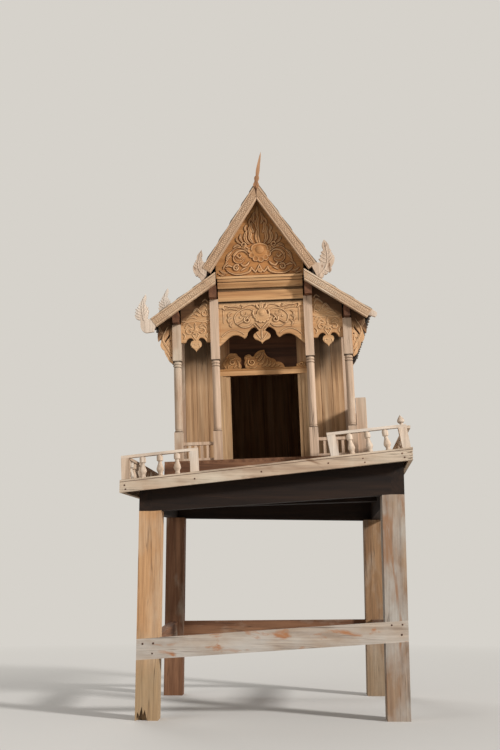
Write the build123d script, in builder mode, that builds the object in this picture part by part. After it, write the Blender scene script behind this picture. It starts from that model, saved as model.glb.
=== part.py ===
from build123d import *
import math
import os

# A carved spirit house on a four-legged timber stand, in millimetres. +Z is up, the front faces -Y,
# and the origin is on the ground under the middle of the deck.
# The stand's legs are plumb, but its deck is twisted by settling and the house leans with it.

# Stand: legs, bearers and stretchers
leg_width = 98.0
leg_inset = {"left": 76.5, "right": 32.5, "front": 81.5, "back": 60.5}
bearer_depth = {"front_left": 117.7, "front_right": 150.3, "back_left": 106.0, "back_right": 118.4}
side_bearer_width = 57.0
cross_bearer_width = 56.0
stretcher_depth = 88.0
stretcher_thickness = 42.0
rot_width = 50.0
rot_height = 58.0
rot_depth = 26.0
front_stretcher_top = {"left": 335.0, "right": 413.0}
back_stretcher_top = {"left": 378.0, "right": 388.0}
joist_width = 45.0
joist_depth = 70.0
joist_count = 2

# Deck: its corners have settled away from one level
deck_width = 1273.0
deck_depth = 1315.0
deck_level = 1056.0
corner_settling = {"front_left": -56.0, "front_right": 83.0, "back_left": 0.0, "back_right": -16.0}
deck_board_thickness = 20.0
deck_board_count = 12
deck_board_gap = 2.0
fascia_thickness = 18.0
fascia_depth = 46.0

# Balustrade on the deck's edge
lip_height = 9.0
lip_width = 36.0
rail_post_width = 36.0
rail_post_height = 92.0
rail_height = 12.0
rail_width = 28.0
baluster_radius = 15.5
baluster_spacing = 83.0
left_rail_length = 336.0
right_rail_length = 347.0
rail_end_inset = 7.5
left_lean = 3.0
right_lean = 10.0
side_rail_bays = 3
bud_height = 45.0
bud_radius = 16.0

# House: it leans by this angle, about a point on the level of its floor
house_lean = 2.0
floor_rise = 63.25
floor_nosing = 17.5
floor_back_margin = 20.0
floor_thickness = 15.0
sill_width = 42.0

# Columns of the porch
column_width = 40.0
inner_column_x = 218.0
outer_column_x = 395.0
column_base_height = 135.0
ring_height = 15.0
shaft_radius = 18.0
neck_bottom = 434.0
neck_height = 33.0
head_height = 285.5

# Walls of the body behind the porch
wall_thickness = 18.0
front_wall_y = -317.5
porch_depth = 170.0
body_depth = 820.0
door_half_width = 160.0
door_height = 419.0
jamb_width = 54.0
jamb_projection = 14.0
door_head_height = 21.0
over_door_height = 99.0
over_door_thickness = 12.0
dado_height = 264.0
dado_thickness = 14.0
dado_reach = 45.0
dado_set_back = 14.0

# Roofs: a steep gable over the middle and a lower slope on each side
upper_pitch = 57.0
upper_eave_reach = 60.0
upper_eave_lift = 22.5
lower_pitch = 34.7
lower_eave_reach = 113.0
roof_thickness = 22.0
barge_width = 45.0
barge_thickness = 18.0
gable_reach = 60.0
rafter_width = 25.0
rafter_count = 5
rafter_spacing = 195.0
first_rafter = 67.5
clerestory_thickness = 18.0
cap_half_width = 28.0
cap_thickness = 8.0
inner_purlin_width = 33.0
inner_purlin_depth = 60.8
outer_purlin_width = 28.0
outer_purlin_depth = 33.3

# Carved boards between the columns
valance_thickness = 16.0
valance_set_back = 12.5
centre_valance_drop = 202.0
side_valance_drop = 151.0
spandrel_drop = 23.0
beam_drop = 13.5
beam_height = 48.0
beam_thickness = 25.0
moulding_height = 69.0
moulding_projection = 18.0
pediment_thickness = 15.0
bracket_reach = 70.0
porch_rail_height = 88.0
porch_rail_depth = 14.0
porch_slat_width = 12.0
porch_slat_inset = 3.0

# Finials
horn_height = 153.5
horn_half_width = 9.5
horn_thickness = 14.0
horn_lean = 0.17
boss_radius = 14.0
boss_thickness = 5.0
flame_thickness = 14.0
upper_flame_width = {"left": 42.0, "right": 83.0}
upper_flame_height = {"left": 89.5, "right": 112.5}
upper_flame_lap = {"left": 31.0, "right": 4.0}
upper_flame_seat = 26.0
lower_flame_width = 65.0
lower_flame_height = 120.0
lower_flame_reach = 31.0
lower_flame_seat = 42.0
stub_height = 30.0
roof_flame_x = 437.0
roof_flame_width = 58.0
roof_flame_height = 112.0
roof_flame_sink = 12.0

lean_sine = math.sin(math.radians(house_lean))
lean_cosine = math.cos(math.radians(house_lean))
upper_slope = math.tan(math.radians(upper_pitch))
lower_slope = math.tan(math.radians(lower_pitch))
upper_cosine = math.cos(math.radians(upper_pitch))
lower_cosine = math.cos(math.radians(lower_pitch))
left_outer = leg_inset["left"] - deck_width / 2
right_outer = deck_width / 2 - leg_inset["right"]
front_outer = leg_inset["front"] - deck_depth / 2
back_outer = deck_depth / 2 - leg_inset["back"]
leg_x = {"left": left_outer + leg_width / 2, "right": right_outer - leg_width / 2}
leg_y = {"front": front_outer + leg_width / 2, "back": back_outer - leg_width / 2}
deck_corner = {corner: deck_level + settling for corner, settling in corner_settling.items()}
neck_top = neck_bottom + neck_height
column_front = front_wall_y - porch_depth
back_wall_y = front_wall_y + body_depth
roof_front = column_front - gable_reach
roof_back = back_wall_y + gable_reach
inner_purlin_bottom = neck_top + head_height
inner_purlin_outer = inner_column_x + column_width / 2
outer_purlin_inner = outer_column_x - outer_purlin_width / 2
outer_purlin_outer = outer_column_x + outer_purlin_width / 2
lower_ridge_x = inner_purlin_outer - inner_purlin_width
lower_ridge_height = inner_purlin_bottom + inner_purlin_depth + barge_width / lower_cosine
lower_eave_x = outer_column_x + lower_eave_reach
upper_eave_x = lower_ridge_x + upper_eave_reach
apex_height = lower_ridge_height + upper_eave_lift + upper_slope * upper_eave_x

os.makedirs("parts", exist_ok=True)


def deck_top(x, y):
    """Height of the twisted deck, straight along every line in X and in Y."""
    across = x / deck_width + 0.5
    along = y / deck_depth + 0.5
    front = deck_corner["front_left"] * (1 - across) + deck_corner["front_right"] * across
    back = deck_corner["back_left"] * (1 - across) + deck_corner["back_right"] * across
    return front * (1 - along) + back * along


def deck_underside(x, y):
    return deck_top(x, y) - deck_board_thickness


def lip_top(x, y):
    return deck_top(x, y) + lip_height


floor_level = deck_top(0, 0) + floor_rise
house_frame = Plane(
    origin=(0, 0, floor_level),
    x_dir=(lean_cosine, 0, lean_sine),
    z_dir=(-lean_sine, 0, lean_cosine),
)


def house_floor_underside(x, y):
    """Height of the leaning floor's underside, in the stand's upright frame."""
    return floor_level + x * math.tan(math.radians(house_lean)) - floor_thickness / lean_cosine


def upper_top(x):
    return apex_height - upper_slope * abs(x)


def upper_under(x):
    return upper_top(x) - roof_thickness / upper_cosine


def lower_top(x):
    return lower_ridge_height - lower_slope * (abs(x) - lower_ridge_x)


def lower_under(x):
    return lower_top(x) - roof_thickness / lower_cosine


def rafter_under(x):
    return lower_top(x) - barge_width / lower_cosine


outer_purlin_bottom = rafter_under(outer_purlin_outer) - outer_purlin_depth


def elevation(y):
    """The upright plane of the house at y, with its normal towards the front."""
    return Plane(origin=(0, y, floor_level), x_dir=(lean_cosine, 0, lean_sine), z_dir=(0, -1, 0))


def lay_board(points, plane, thickness):
    """Add a board with a straight-sided outline, its thickness going back from the plane."""
    with BuildSketch(plane) as outline:
        with BuildLine():
            Polyline(*points, close=True)
        make_face()
    extrude(outline.sketch, amount=-thickness)


def lay_shape(runs, plane, thickness, mode=Mode.ADD):
    """Add a board whose outline is given as runs, each joined to the next by a straight line.

    A run of three points or more is drawn as a curve.
    """
    with BuildSketch(plane) as outline:
        with BuildLine():
            for run, following in zip(runs, runs[1:] + runs[:1]):
                if len(run) > 2:
                    Spline(*run)
                elif len(run) == 2:
                    Line(*run)
                if run[-1] != following[0]:
                    Line(run[-1], following[0])
        make_face()
    extrude(outline.sketch, amount=-thickness, mode=mode)


def cut_board(points, plane, thickness):
    with BuildSketch(plane) as outline:
        with BuildLine():
            Polyline(*points, close=True)
        make_face()
    extrude(outline.sketch, amount=-thickness, mode=Mode.SUBTRACT)


def lay_timber(x_low, x_high, y_low, y_high, bottom, top, mode=Mode.ADD):
    """Add a timber whose underside and top follow two functions of x and y."""
    ends = []
    for y in (y_low, y_high):
        with BuildSketch(Plane.XZ.offset(-y)) as section:
            with BuildLine():
                Polyline(
                    (x_low, bottom(x_low, y)),
                    (x_high, bottom(x_high, y)),
                    (x_high, top(x_high, y)),
                    (x_low, top(x_low, y)),
                    close=True,
                )
            make_face()
        ends.append(section.sketch.face())
    loft(ends, ruled=True, mode=mode)


def mirrored(points, side):
    """Outline points for the right side, or their mirror image for the left."""
    return [(side * x, z) for x, z in points]


def mirrored_runs(runs, side):
    return [mirrored(run, side) for run in runs]


def save(piece, name):
    piece.part.label = name
    export_step(piece.part, f"parts/{name}.step")


# Heights along the cross bearers' undersides, straight between the leg seats
def cross_bearer_bottom(row):
    left = deck_underside(leg_x["left"], leg_y[row]) - bearer_depth[f"{row}_left"]
    right = deck_underside(leg_x["right"], leg_y[row]) - bearer_depth[f"{row}_right"]
    slope = (right - left) / (leg_x["right"] - leg_x["left"])
    return lambda x, y: left + slope * (x - leg_x["left"])


def front_stretcher_line(x):
    share = (x - left_outer) / (right_outer - left_outer)
    return front_stretcher_top["left"] * (1 - share) + front_stretcher_top["right"] * share


def back_stretcher_line(x):
    share = (x - left_outer) / (right_outer - left_outer)
    return back_stretcher_top["left"] * (1 - share) + back_stretcher_top["right"] * share


def stretcher_outline(line):
    return [
        (left_outer, line(left_outer) - stretcher_depth),
        (right_outer, line(right_outer) - stretcher_depth),
        (right_outer, line(right_outer)),
        (left_outer, line(left_outer)),
    ]


stretcher_plane = {
    "front": Plane.XZ.offset(-front_outer),
    "back": Plane.XZ.offset(-(back_outer - stretcher_thickness)),
}
stretcher_line = {"front": front_stretcher_line, "back": back_stretcher_line}

# Rot has eaten splits into the front left foot, given in shares of their width and height
foot_left = left_outer + 4
rot_edge = [(0, 0), (0.14, 0.62), (0.28, 0.31), (0.48, 1), (0.6, 0.41), (0.76, 0.76), (0.92, 0.17), (1, 0)]
rot_outline = [(foot_left + x * rot_width, z * rot_height) for x, z in rot_edge]

# Legs: each is cut level under the side bearer and to the slope of the cross bearer
for row, row_y in leg_y.items():
    for side, side_x in leg_x.items():
        outward = -1 if side == "left" else 1
        outer = side_x + outward * leg_width / 2
        inner = side_x - outward * leg_width / 2
        shoulder = outer - outward * side_bearer_width
        under_cross = cross_bearer_bottom(row)
        level_seat = under_cross(shoulder, 0)
        with BuildPart() as leg:
            lay_board(
                [
                    (outer, 0),
                    (outer, level_seat),
                    (shoulder, level_seat),
                    (inner, under_cross(inner, 0)),
                    (inner, 0),
                ],
                Plane.XZ.offset(-(row_y - leg_width / 2)),
                leg_width,
            )
            cut_board(stretcher_outline(stretcher_line[row]), stretcher_plane[row], stretcher_thickness)
            if (row, side) == ("front", "left"):
                cut_board(rot_outline, stretcher_plane["front"], rot_depth)
        save(leg, f"leg_{row}_{side}")

# Stretchers: the front and back ones are half-lapped into the legs
for row in ("front", "back"):
    with BuildPart() as stretcher:
        lay_board(stretcher_outline(stretcher_line[row]), stretcher_plane[row], stretcher_thickness)
    save(stretcher, f"{row}_stretcher")

leg_gap_front = leg_y["front"] + leg_width / 2
leg_gap_back = leg_y["back"] - leg_width / 2
with BuildPart() as side_stretchers:
    for side, side_x in leg_x.items():
        front_top = front_stretcher_top[side]
        back_top = back_stretcher_top[side]
        lay_board(
            [
                (leg_gap_front, front_top - stretcher_depth),
                (leg_gap_back, back_top - stretcher_depth),
                (leg_gap_back, back_top),
                (leg_gap_front, front_top),
            ],
            Plane.YZ.offset(side_x + stretcher_thickness / 2),
            stretcher_thickness,
        )
save(side_stretchers, "side_stretchers")

# Side bearers rest level on the outer half of each leg and carry the deck's twisted underside
def side_bearer_bottom(shoulder):
    """Height of a side bearer's underside: level over each leg and straight between them."""
    seat_front = cross_bearer_bottom("front")(shoulder, 0)
    seat_back = cross_bearer_bottom("back")(shoulder, 0)

    def height(x, y):
        share = (y - leg_gap_front) / (leg_gap_back - leg_gap_front)
        share = min(max(share, 0), 1)
        return seat_front * (1 - share) + seat_back * share

    return height


with BuildPart() as side_bearers:
    for side, outward in (("left", -1), ("right", 1)):
        outer = leg_x[side] + outward * leg_width / 2
        shoulder = outer - outward * side_bearer_width
        low, high = sorted((outer, shoulder))
        for start, end in (
            (front_outer, leg_gap_front),
            (leg_gap_front, leg_gap_back),
            (leg_gap_back, back_outer),
        ):
            lay_timber(low, high, start, end, side_bearer_bottom(shoulder), deck_underside)
save(side_bearers, "side_bearers")

# Cross bearers and joists run between the side bearers
span_left = left_outer + side_bearer_width
span_right = right_outer - side_bearer_width
with BuildPart() as front_bearer:
    lay_timber(
        span_left,
        span_right,
        front_outer,
        front_outer + cross_bearer_width,
        cross_bearer_bottom("front"),
        deck_underside,
    )
save(front_bearer, "front_bearer")

with BuildPart() as back_bearer:
    lay_timber(
        span_left,
        span_right,
        back_outer - cross_bearer_width,
        back_outer,
        cross_bearer_bottom("back"),
        deck_underside,
    )
save(back_bearer, "back_bearer")


def joist_bottom(x, y):
    return deck_underside(x, y) - joist_depth


def spread(low, high, count):
    """Places that divide a run evenly, leaving out its ends."""
    return [low + (high - low) * (index + 1) / (count + 1) for index in range(count)]


with BuildPart() as floor_joists:
    for row_y in spread(front_outer + cross_bearer_width, back_outer - cross_bearer_width, joist_count):
        lay_timber(
            span_left,
            span_right,
            row_y - joist_width / 2,
            row_y + joist_width / 2,
            joist_bottom,
            deck_underside,
        )
save(floor_joists, "floor_joists")

# Deck boards run from front to back inside the fascias
inside_width = deck_width - 2 * fascia_thickness
inside_depth = deck_depth - 2 * fascia_thickness
board_pitch = inside_width / deck_board_count
with BuildPart() as deck_boards:
    for index in range(deck_board_count):
        board_left = -inside_width / 2 + index * board_pitch + deck_board_gap / 2
        lay_timber(
            board_left,
            board_left + board_pitch - deck_board_gap,
            -inside_depth / 2,
            inside_depth / 2,
            deck_underside,
            deck_top,
        )
save(deck_boards, "deck_boards")


def fascia_bottom(x, y):
    return deck_top(x, y) - fascia_depth


with BuildPart() as end_fascias:
    lay_timber(
        -deck_width / 2, deck_width / 2, -deck_depth / 2, -inside_depth / 2, fascia_bottom, deck_top
    )
    lay_timber(
        -deck_width / 2, deck_width / 2, inside_depth / 2, deck_depth / 2, fascia_bottom, deck_top
    )
    # The front board's right end has split
    split_x = deck_width / 2 + 1
    split_top = deck_corner["front_right"]
    for reach, mouth_top, mouth_bottom in ((34, 9, 17), (19, 24, 29), (27, 35, 44)):
        cut_board(
            [
                (split_x, split_top - mouth_top),
                (split_x - reach, split_top - mouth_top - 5),
                (split_x, split_top - mouth_bottom),
            ],
            Plane.XZ.offset(deck_depth / 2),
            fascia_thickness,
        )
save(end_fascias, "end_fascias")

with BuildPart() as side_fascias:
    lay_timber(
        -deck_width / 2, -inside_width / 2, -inside_depth / 2, inside_depth / 2, fascia_bottom, deck_top
    )
    lay_timber(
        inside_width / 2, deck_width / 2, -inside_depth / 2, inside_depth / 2, fascia_bottom, deck_top
    )
save(side_fascias, "side_fascias")

# Lip: a thin moulding on the deck's edge that the balustrade stands on
lip_inner_x = deck_width / 2 - lip_width
lip_inner_y = deck_depth / 2 - lip_width
with BuildPart() as end_lips:
    lay_timber(-deck_width / 2, deck_width / 2, -deck_depth / 2, -lip_inner_y, deck_top, lip_top)
    lay_timber(-deck_width / 2, deck_width / 2, lip_inner_y, deck_depth / 2, deck_top, lip_top)
save(end_lips, "end_lips")

with BuildPart() as side_lips:
    lay_timber(-deck_width / 2, -lip_inner_x, -lip_inner_y, lip_inner_y, deck_top, lip_top)
    lay_timber(lip_inner_x, deck_width / 2, -lip_inner_y, lip_inner_y, deck_top, lip_top)
save(side_lips, "side_lips")


def turn_baluster(foot, lean, height, run_plane):
    """Revolve one baluster about its leaning axis, its foot at a point of the upright run plane."""
    radius = baluster_radius
    angle = math.radians(lean)
    axis_plane = Plane(
        origin=run_plane.from_local_coords(Vector(*foot, 0)),
        x_dir=run_plane.x_dir * math.cos(angle) + run_plane.y_dir * math.sin(angle),
        z_dir=run_plane.z_dir,
    )
    with BuildSketch(axis_plane) as half:
        with BuildLine():
            Polyline((0, -1), (0.72 * radius, -1), (0.72 * radius, 0.07 * height))
            Spline(
                (0.72 * radius, 0.07 * height),
                (0.62 * radius, 0.11 * height),
                (radius, 0.27 * height),
                (0.86 * radius, 0.43 * height),
                (0.47 * radius, 0.66 * height),
            )
            Polyline(
                (0.47 * radius, 0.66 * height),
                (0.62 * radius, 0.70 * height),
                (0.88 * radius, 0.72 * height),
                (0.88 * radius, 0.94 * height),
                (0.7 * radius, 0.96 * height),
                (0.7 * radius, height + 1),
                (0, height + 1),
                (0, -1),
            )
        make_face()
    revolve(half.sketch, axis=Axis(axis_plane.origin, axis_plane.y_dir))


def lay_railing(run_plane, depth, base, start, end, lean, posts, balusters):
    """Add posts, a top rail and turned balusters along one run of the balustrade.

    base gives the lip's height along the run; posts are (place, width) pairs and balusters are
    places, all at the foot.
    """
    shift = math.tan(math.radians(lean))

    def above(u, height):
        return (u - height * shift, base(u) + height)

    for place, width in posts:
        low = place - width / 2
        high = place + width / 2
        lay_board(
            [
                above(low, 0),
                above(high, 0),
                above(high, rail_post_height),
                above(low, rail_post_height),
            ],
            run_plane.offset(depth / 2),
            depth,
        )
    lay_board(
        [
            above(start, rail_post_height),
            above(end, rail_post_height),
            above(end, rail_post_height + rail_height),
            above(start, rail_post_height + rail_height),
        ],
        run_plane.offset(rail_width / 2),
        rail_width,
    )
    for place in balusters:
        turn_baluster((place, base(place)), lean, rail_post_height, run_plane)


def below_lip(x, y):
    return lip_top(x, y) - rail_post_width


def trim_to_lip(x_low, x_high, y_low, y_high):
    """Cut the feet of a railing to the slope of the lip that they stand on."""
    lay_timber(x_low, x_high, y_low, y_high, below_lip, lip_top, mode=Mode.SUBTRACT)


rail_depth = rail_post_width - 4
rail_seat_gap = 0.3
rail_line_x = deck_width / 2 - lip_width / 2
rail_line_y = deck_depth / 2 - lip_width / 2
front_run = Plane(origin=(0, -rail_line_y, 0), x_dir=(1, 0, 0), z_dir=(0, -1, 0))
back_run = Plane(origin=(0, rail_line_y, 0), x_dir=(1, 0, 0), z_dir=(0, -1, 0))


def front_base(x):
    return lip_top(x, -rail_line_y)


def back_base(x):
    return lip_top(x, rail_line_y)


post_inset = rail_post_width / 2
left_corner = -deck_width / 2 + rail_end_inset
right_corner = deck_width / 2 - rail_end_inset
left_inner = left_corner + left_rail_length
right_inner = right_corner - right_rail_length

with BuildPart() as front_left_railing:
    lay_railing(
        front_run,
        rail_depth,
        front_base,
        left_corner,
        left_inner,
        left_lean,
        [(left_corner + post_inset, rail_post_width), (left_inner - post_inset, rail_post_width)],
        spread(left_corner + post_inset, left_inner - post_inset, 3),
    )
    trim_to_lip(-deck_width / 2, 0, -deck_depth / 2, -lip_inner_y)
save(front_left_railing, "front_left_railing")

# A lotus bud stands on the front right corner post, the only one that is left
bud_shift = math.tan(math.radians(right_lean)) * (rail_post_height + rail_height)
bud_plane = Plane(
    origin=(
        right_corner - post_inset - bud_shift,
        -rail_line_y,
        front_base(right_corner - post_inset) + rail_post_height + rail_height,
    ),
    x_dir=(math.cos(math.radians(right_lean)), 0, math.sin(math.radians(right_lean))),
    z_dir=(0, -1, 0),
)
with BuildPart() as front_right_railing:
    lay_railing(
        front_run,
        rail_depth,
        front_base,
        right_inner,
        right_corner,
        right_lean,
        [(right_inner + post_inset, rail_post_width), (right_corner - post_inset, rail_post_width)],
        spread(right_inner + post_inset, right_corner - post_inset, 3),
    )
    trim_to_lip(0, deck_width / 2, -deck_depth / 2, -lip_inner_y)
    with BuildSketch(bud_plane) as bud_half:
        with BuildLine():
            Polyline((0, -rail_height / 2), (0.55 * bud_radius, -rail_height / 2))
            Line((0.55 * bud_radius, -rail_height / 2), (0.45 * bud_radius, 0.14 * bud_height))
            Spline(
                (0.45 * bud_radius, 0.14 * bud_height),
                (bud_radius, 0.42 * bud_height),
                (0.5 * bud_radius, 0.75 * bud_height),
                (0, bud_height),
            )
            Line((0, bud_height), (0, -rail_height / 2))
        make_face()
    revolve(bud_half.sketch, axis=Axis(bud_plane.origin, bud_plane.y_dir))
save(front_right_railing, "front_right_railing")

back_posts = [left_corner + post_inset, 0, right_corner - post_inset]
back_baluster_count = round((right_corner - left_corner) / 2 / baluster_spacing) - 1
with BuildPart() as back_railing:
    lay_railing(
        back_run,
        rail_depth,
        back_base,
        left_corner,
        right_corner,
        0,
        [(place, rail_post_width) for place in back_posts],
        spread(back_posts[0], 0, back_baluster_count) + spread(0, back_posts[2], back_baluster_count),
    )
    trim_to_lip(-deck_width / 2, deck_width / 2, lip_inner_y, deck_depth / 2)
save(back_railing, "back_railing")

side_end = rail_line_y - rail_depth / 2 - rail_seat_gap
side_bay = 2 * side_end / side_rail_bays
side_baluster_count = round(side_bay / baluster_spacing) - 1
bay_posts = [-side_end + side_bay * index for index in range(side_rail_bays + 1)]
side_baluster_places = []
for low, high in zip(bay_posts, bay_posts[1:]):
    side_baluster_places += spread(low, high, side_baluster_count)


def side_base(outward):
    return lambda y: lip_top(outward * rail_line_x, y)


with BuildPart() as side_railings:
    for outward in (-1, 1):
        lay_railing(
            Plane(origin=(outward * rail_line_x, 0, 0), x_dir=(0, 1, 0), z_dir=(1, 0, 0)),
            rail_depth,
            side_base(outward),
            -side_end,
            side_end,
            0,
            [(place, rail_post_width) for place in bay_posts[1:-1]],
            side_baluster_places,
        )
    trim_to_lip(-deck_width / 2, -lip_inner_x, -side_end, side_end)
    trim_to_lip(lip_inner_x, deck_width / 2, -side_end, side_end)
save(side_railings, "side_railings")

# Sills: boards scribed to the twisted deck below and cut to the leaning floor above
floor_half_width = outer_column_x + column_width / 2 + dado_reach
floor_front = column_front - floor_nosing
floor_back = back_wall_y + floor_back_margin
with BuildPart() as end_sills:
    lay_timber(
        -floor_half_width,
        floor_half_width,
        floor_front,
        floor_front + sill_width,
        deck_top,
        house_floor_underside,
    )
    lay_timber(
        -floor_half_width,
        floor_half_width,
        floor_back - sill_width,
        floor_back,
        deck_top,
        house_floor_underside,
    )
save(end_sills, "end_sills")

with BuildPart() as side_sills:
    for low in (-floor_half_width, floor_half_width - sill_width):
        lay_timber(
            low,
            low + sill_width,
            floor_front + sill_width,
            floor_back - sill_width,
            deck_top,
            house_floor_underside,
        )
save(side_sills, "side_sills")

with BuildPart(house_frame) as house_floor:
    with Locations((0, (floor_front + floor_back) / 2, -floor_thickness / 2)):
        Box(2 * floor_half_width, floor_back - floor_front, floor_thickness)
save(house_floor, "house_floor")

# Porch columns: a square foot and head with a turned shaft between
column_y = column_front + column_width / 2


def raise_column(x, top):
    shaft_bottom = column_base_height + ring_height
    with BuildSketch(house_frame) as foot:
        with Locations((x, column_y)):
            Rectangle(column_width, column_width)
    extrude(foot.sketch, amount=column_base_height)
    with BuildSketch(elevation(column_y)) as half:
        with BuildLine():
            Polyline(
                (x, column_base_height - 1),
                (x + 0.9 * shaft_radius, column_base_height - 1),
                (x + 0.9 * shaft_radius, column_base_height + 3),
                (x + 1.06 * shaft_radius, column_base_height + 5),
                (x + 1.06 * shaft_radius, column_base_height + 8),
                (x + 0.88 * shaft_radius, column_base_height + 10),
                (x + 0.98 * shaft_radius, shaft_bottom),
                (x + shaft_radius, shaft_bottom + 6),
                (x + shaft_radius, neck_bottom),
                (x + 0.86 * shaft_radius, neck_bottom + 3),
                (x + 1.04 * shaft_radius, neck_bottom + 7),
                (x + 1.04 * shaft_radius, neck_bottom + 12),
                (x + 0.86 * shaft_radius, neck_bottom + 16),
                (x + 1.04 * shaft_radius, neck_bottom + 20),
                (x + 1.04 * shaft_radius, neck_bottom + 26),
                (x + 0.9 * shaft_radius, neck_top - 3),
                (x + 0.9 * shaft_radius, neck_top + 1),
                (x, neck_top + 1),
                close=True,
            )
        make_face()
    axis_foot = house_frame.from_local_coords(Vector(x, column_y, 0))
    revolve(half.sketch, axis=Axis(axis_foot, house_frame.z_dir))
    with BuildSketch(house_frame.offset(neck_top)) as head:
        with Locations((x, column_y)):
            Rectangle(column_width, column_width)
    extrude(head.sketch, amount=top - neck_top)


with BuildPart() as inner_columns:
    for side in (-1, 1):
        raise_column(side * inner_column_x, inner_purlin_bottom)
save(inner_columns, "inner_columns")

with BuildPart() as outer_columns:
    for side in (-1, 1):
        raise_column(side * outer_column_x, outer_purlin_bottom)
save(outer_columns, "outer_columns")

# Body: corner posts with board walls between them
post_inner = outer_column_x - column_width / 2
post_outer = outer_column_x + column_width / 2
with BuildPart() as corner_posts:
    for side in (-1, 1):
        for y in (front_wall_y, back_wall_y - column_width):
            lay_board(
                mirrored(
                    [
                        (post_inner, 0),
                        (post_outer, 0),
                        (post_outer, outer_purlin_bottom),
                        (post_inner, outer_purlin_bottom),
                    ],
                    side,
                ),
                elevation(y),
                column_width,
            )
save(corner_posts, "corner_posts")

clerestory_inner = lower_ridge_x - clerestory_thickness
with BuildPart() as front_wall_panels:
    for side in (-1, 1):
        lay_board(
            mirrored(
                [
                    (door_half_width, 0),
                    (post_inner, 0),
                    (post_inner, lower_under(post_inner)),
                    (inner_purlin_outer, lower_under(inner_purlin_outer)),
                    (inner_purlin_outer, inner_purlin_bottom),
                    (door_half_width, inner_purlin_bottom),
                ],
                side,
            ),
            elevation(front_wall_y),
            wall_thickness,
        )
save(front_wall_panels, "front_wall_panels")

with BuildPart() as over_door_wall:
    lay_board(
        [
            (-door_half_width, door_height),
            (door_half_width, door_height),
            (door_half_width, inner_purlin_bottom),
            (clerestory_inner, inner_purlin_bottom),
            (clerestory_inner, upper_under(clerestory_inner)),
            (0, upper_under(0)),
            (-clerestory_inner, upper_under(clerestory_inner)),
            (-clerestory_inner, inner_purlin_bottom),
            (-door_half_width, inner_purlin_bottom),
        ],
        elevation(front_wall_y),
        wall_thickness,
    )
save(over_door_wall, "over_door_wall")

with BuildPart() as back_wall:
    lay_board(
        [
            (-post_inner, 0),
            (post_inner, 0),
            (post_inner, lower_under(post_inner)),
            (inner_purlin_outer, lower_under(inner_purlin_outer)),
            (inner_purlin_outer, inner_purlin_bottom),
            (clerestory_inner, inner_purlin_bottom),
            (clerestory_inner, upper_under(clerestory_inner)),
            (0, upper_under(0)),
            (-clerestory_inner, upper_under(clerestory_inner)),
            (-clerestory_inner, inner_purlin_bottom),
            (-inner_purlin_outer, inner_purlin_bottom),
            (-inner_purlin_outer, lower_under(inner_purlin_outer)),
            (-post_inner, lower_under(post_inner)),
        ],
        elevation(back_wall_y - wall_thickness),
        wall_thickness,
    )
save(back_wall, "back_wall")

with BuildPart(house_frame) as side_walls:
    side_wall_length = back_wall_y - front_wall_y - 2 * column_width
    with Locations(
        *[
            (side * outer_column_x, (front_wall_y + back_wall_y) / 2, outer_purlin_bottom / 2)
            for side in (-1, 1)
        ]
    ):
        Box(wall_thickness, side_wall_length, outer_purlin_bottom)
save(side_walls, "side_walls")

# A low dado stands outside the right side wall; the left side has none
dado_front = column_front + dado_set_back
dado_length = back_wall_y - dado_front
dado_x = floor_half_width - dado_thickness / 2
dado_y = dado_front + dado_length / 2
with BuildPart(house_frame) as side_dado:
    with Locations((dado_x, dado_y, dado_height / 2)):
        Box(dado_thickness, dado_length, dado_height)
save(side_dado, "side_dado")

dado_end_width = dado_reach - dado_thickness
dado_end_x = post_outer + dado_end_width / 2
dado_end_y = dado_front + dado_thickness / 2
with BuildPart(house_frame) as dado_end:
    with Locations((dado_end_x, dado_end_y, dado_height / 2)):
        Box(dado_end_width, dado_thickness, dado_height)
save(dado_end, "dado_end")

# Doorway: stepped jambs and a head in front of the wall, with a carved board over them
door_head_top = door_height + door_head_height
with BuildPart() as door_jambs:
    for side in (-1, 1):
        for step in range(3):
            inner = door_half_width + step * jamb_width / 3
            lay_board(
                mirrored(
                    [
                        (inner, 0),
                        (door_half_width + jamb_width, 0),
                        (door_half_width + jamb_width, door_height),
                        (inner, door_height),
                    ],
                    side,
                ),
                elevation(front_wall_y - jamb_projection * (step + 1) / 3),
                jamb_projection * (step + 1) / 3,
            )
save(door_jambs, "door_jambs")

with BuildPart() as door_head:
    head_half = door_half_width + jamb_width
    lay_board(
        [
            (-head_half, door_height),
            (head_half, door_height),
            (head_half, door_head_top),
            (-head_half, door_head_top),
        ],
        elevation(front_wall_y - jamb_projection),
        jamb_projection,
    )
save(door_head, "door_head")

# A cut-out board stands on the door head: a corner leaf, a crown and a small corner scroll on a strip,
# given in shares of the half width and of the height
over_door_edge = [
    [(-1.0, 0.0)],
    [(-1.0, 0.12), (-0.85, 0.12)],
    [(-0.85, 0.12), (-0.92, 0.34), (-0.86, 0.52)],
    [(-0.86, 0.52), (-0.83, 0.68), (-0.74, 0.71)],
    [(-0.74, 0.71), (-0.7, 0.83), (-0.62, 0.88), (-0.56, 0.74)],
    [(-0.56, 0.74), (-0.49, 0.58), (-0.54, 0.4)],
    [(-0.54, 0.4), (-0.49, 0.26), (-0.51, 0.12)],
    [(-0.35, 0.12), (-0.42, 0.3), (-0.4, 0.5)],
    [(-0.4, 0.5), (-0.42, 0.68), (-0.33, 0.81)],
    [(-0.33, 0.81), (-0.28, 0.68), (-0.21, 0.7)],
    [(-0.21, 0.7), (-0.14, 0.9), (0.03, 1.0)],
    [(0.03, 1.0), (0.06, 0.78), (0.17, 0.58)],
    [(0.17, 0.58), (0.25, 0.52), (0.29, 0.4)],
    [(0.29, 0.4), (0.4, 0.34), (0.47, 0.12)],
    [(0.73, 0.12), (0.73, 0.25), (0.79, 0.27)],
    [(0.79, 0.27), (0.87, 0.36), (0.93, 0.24), (0.93, 0.12)],
    [(1.0, 0.12), (1.0, 0.0)],
]
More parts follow.
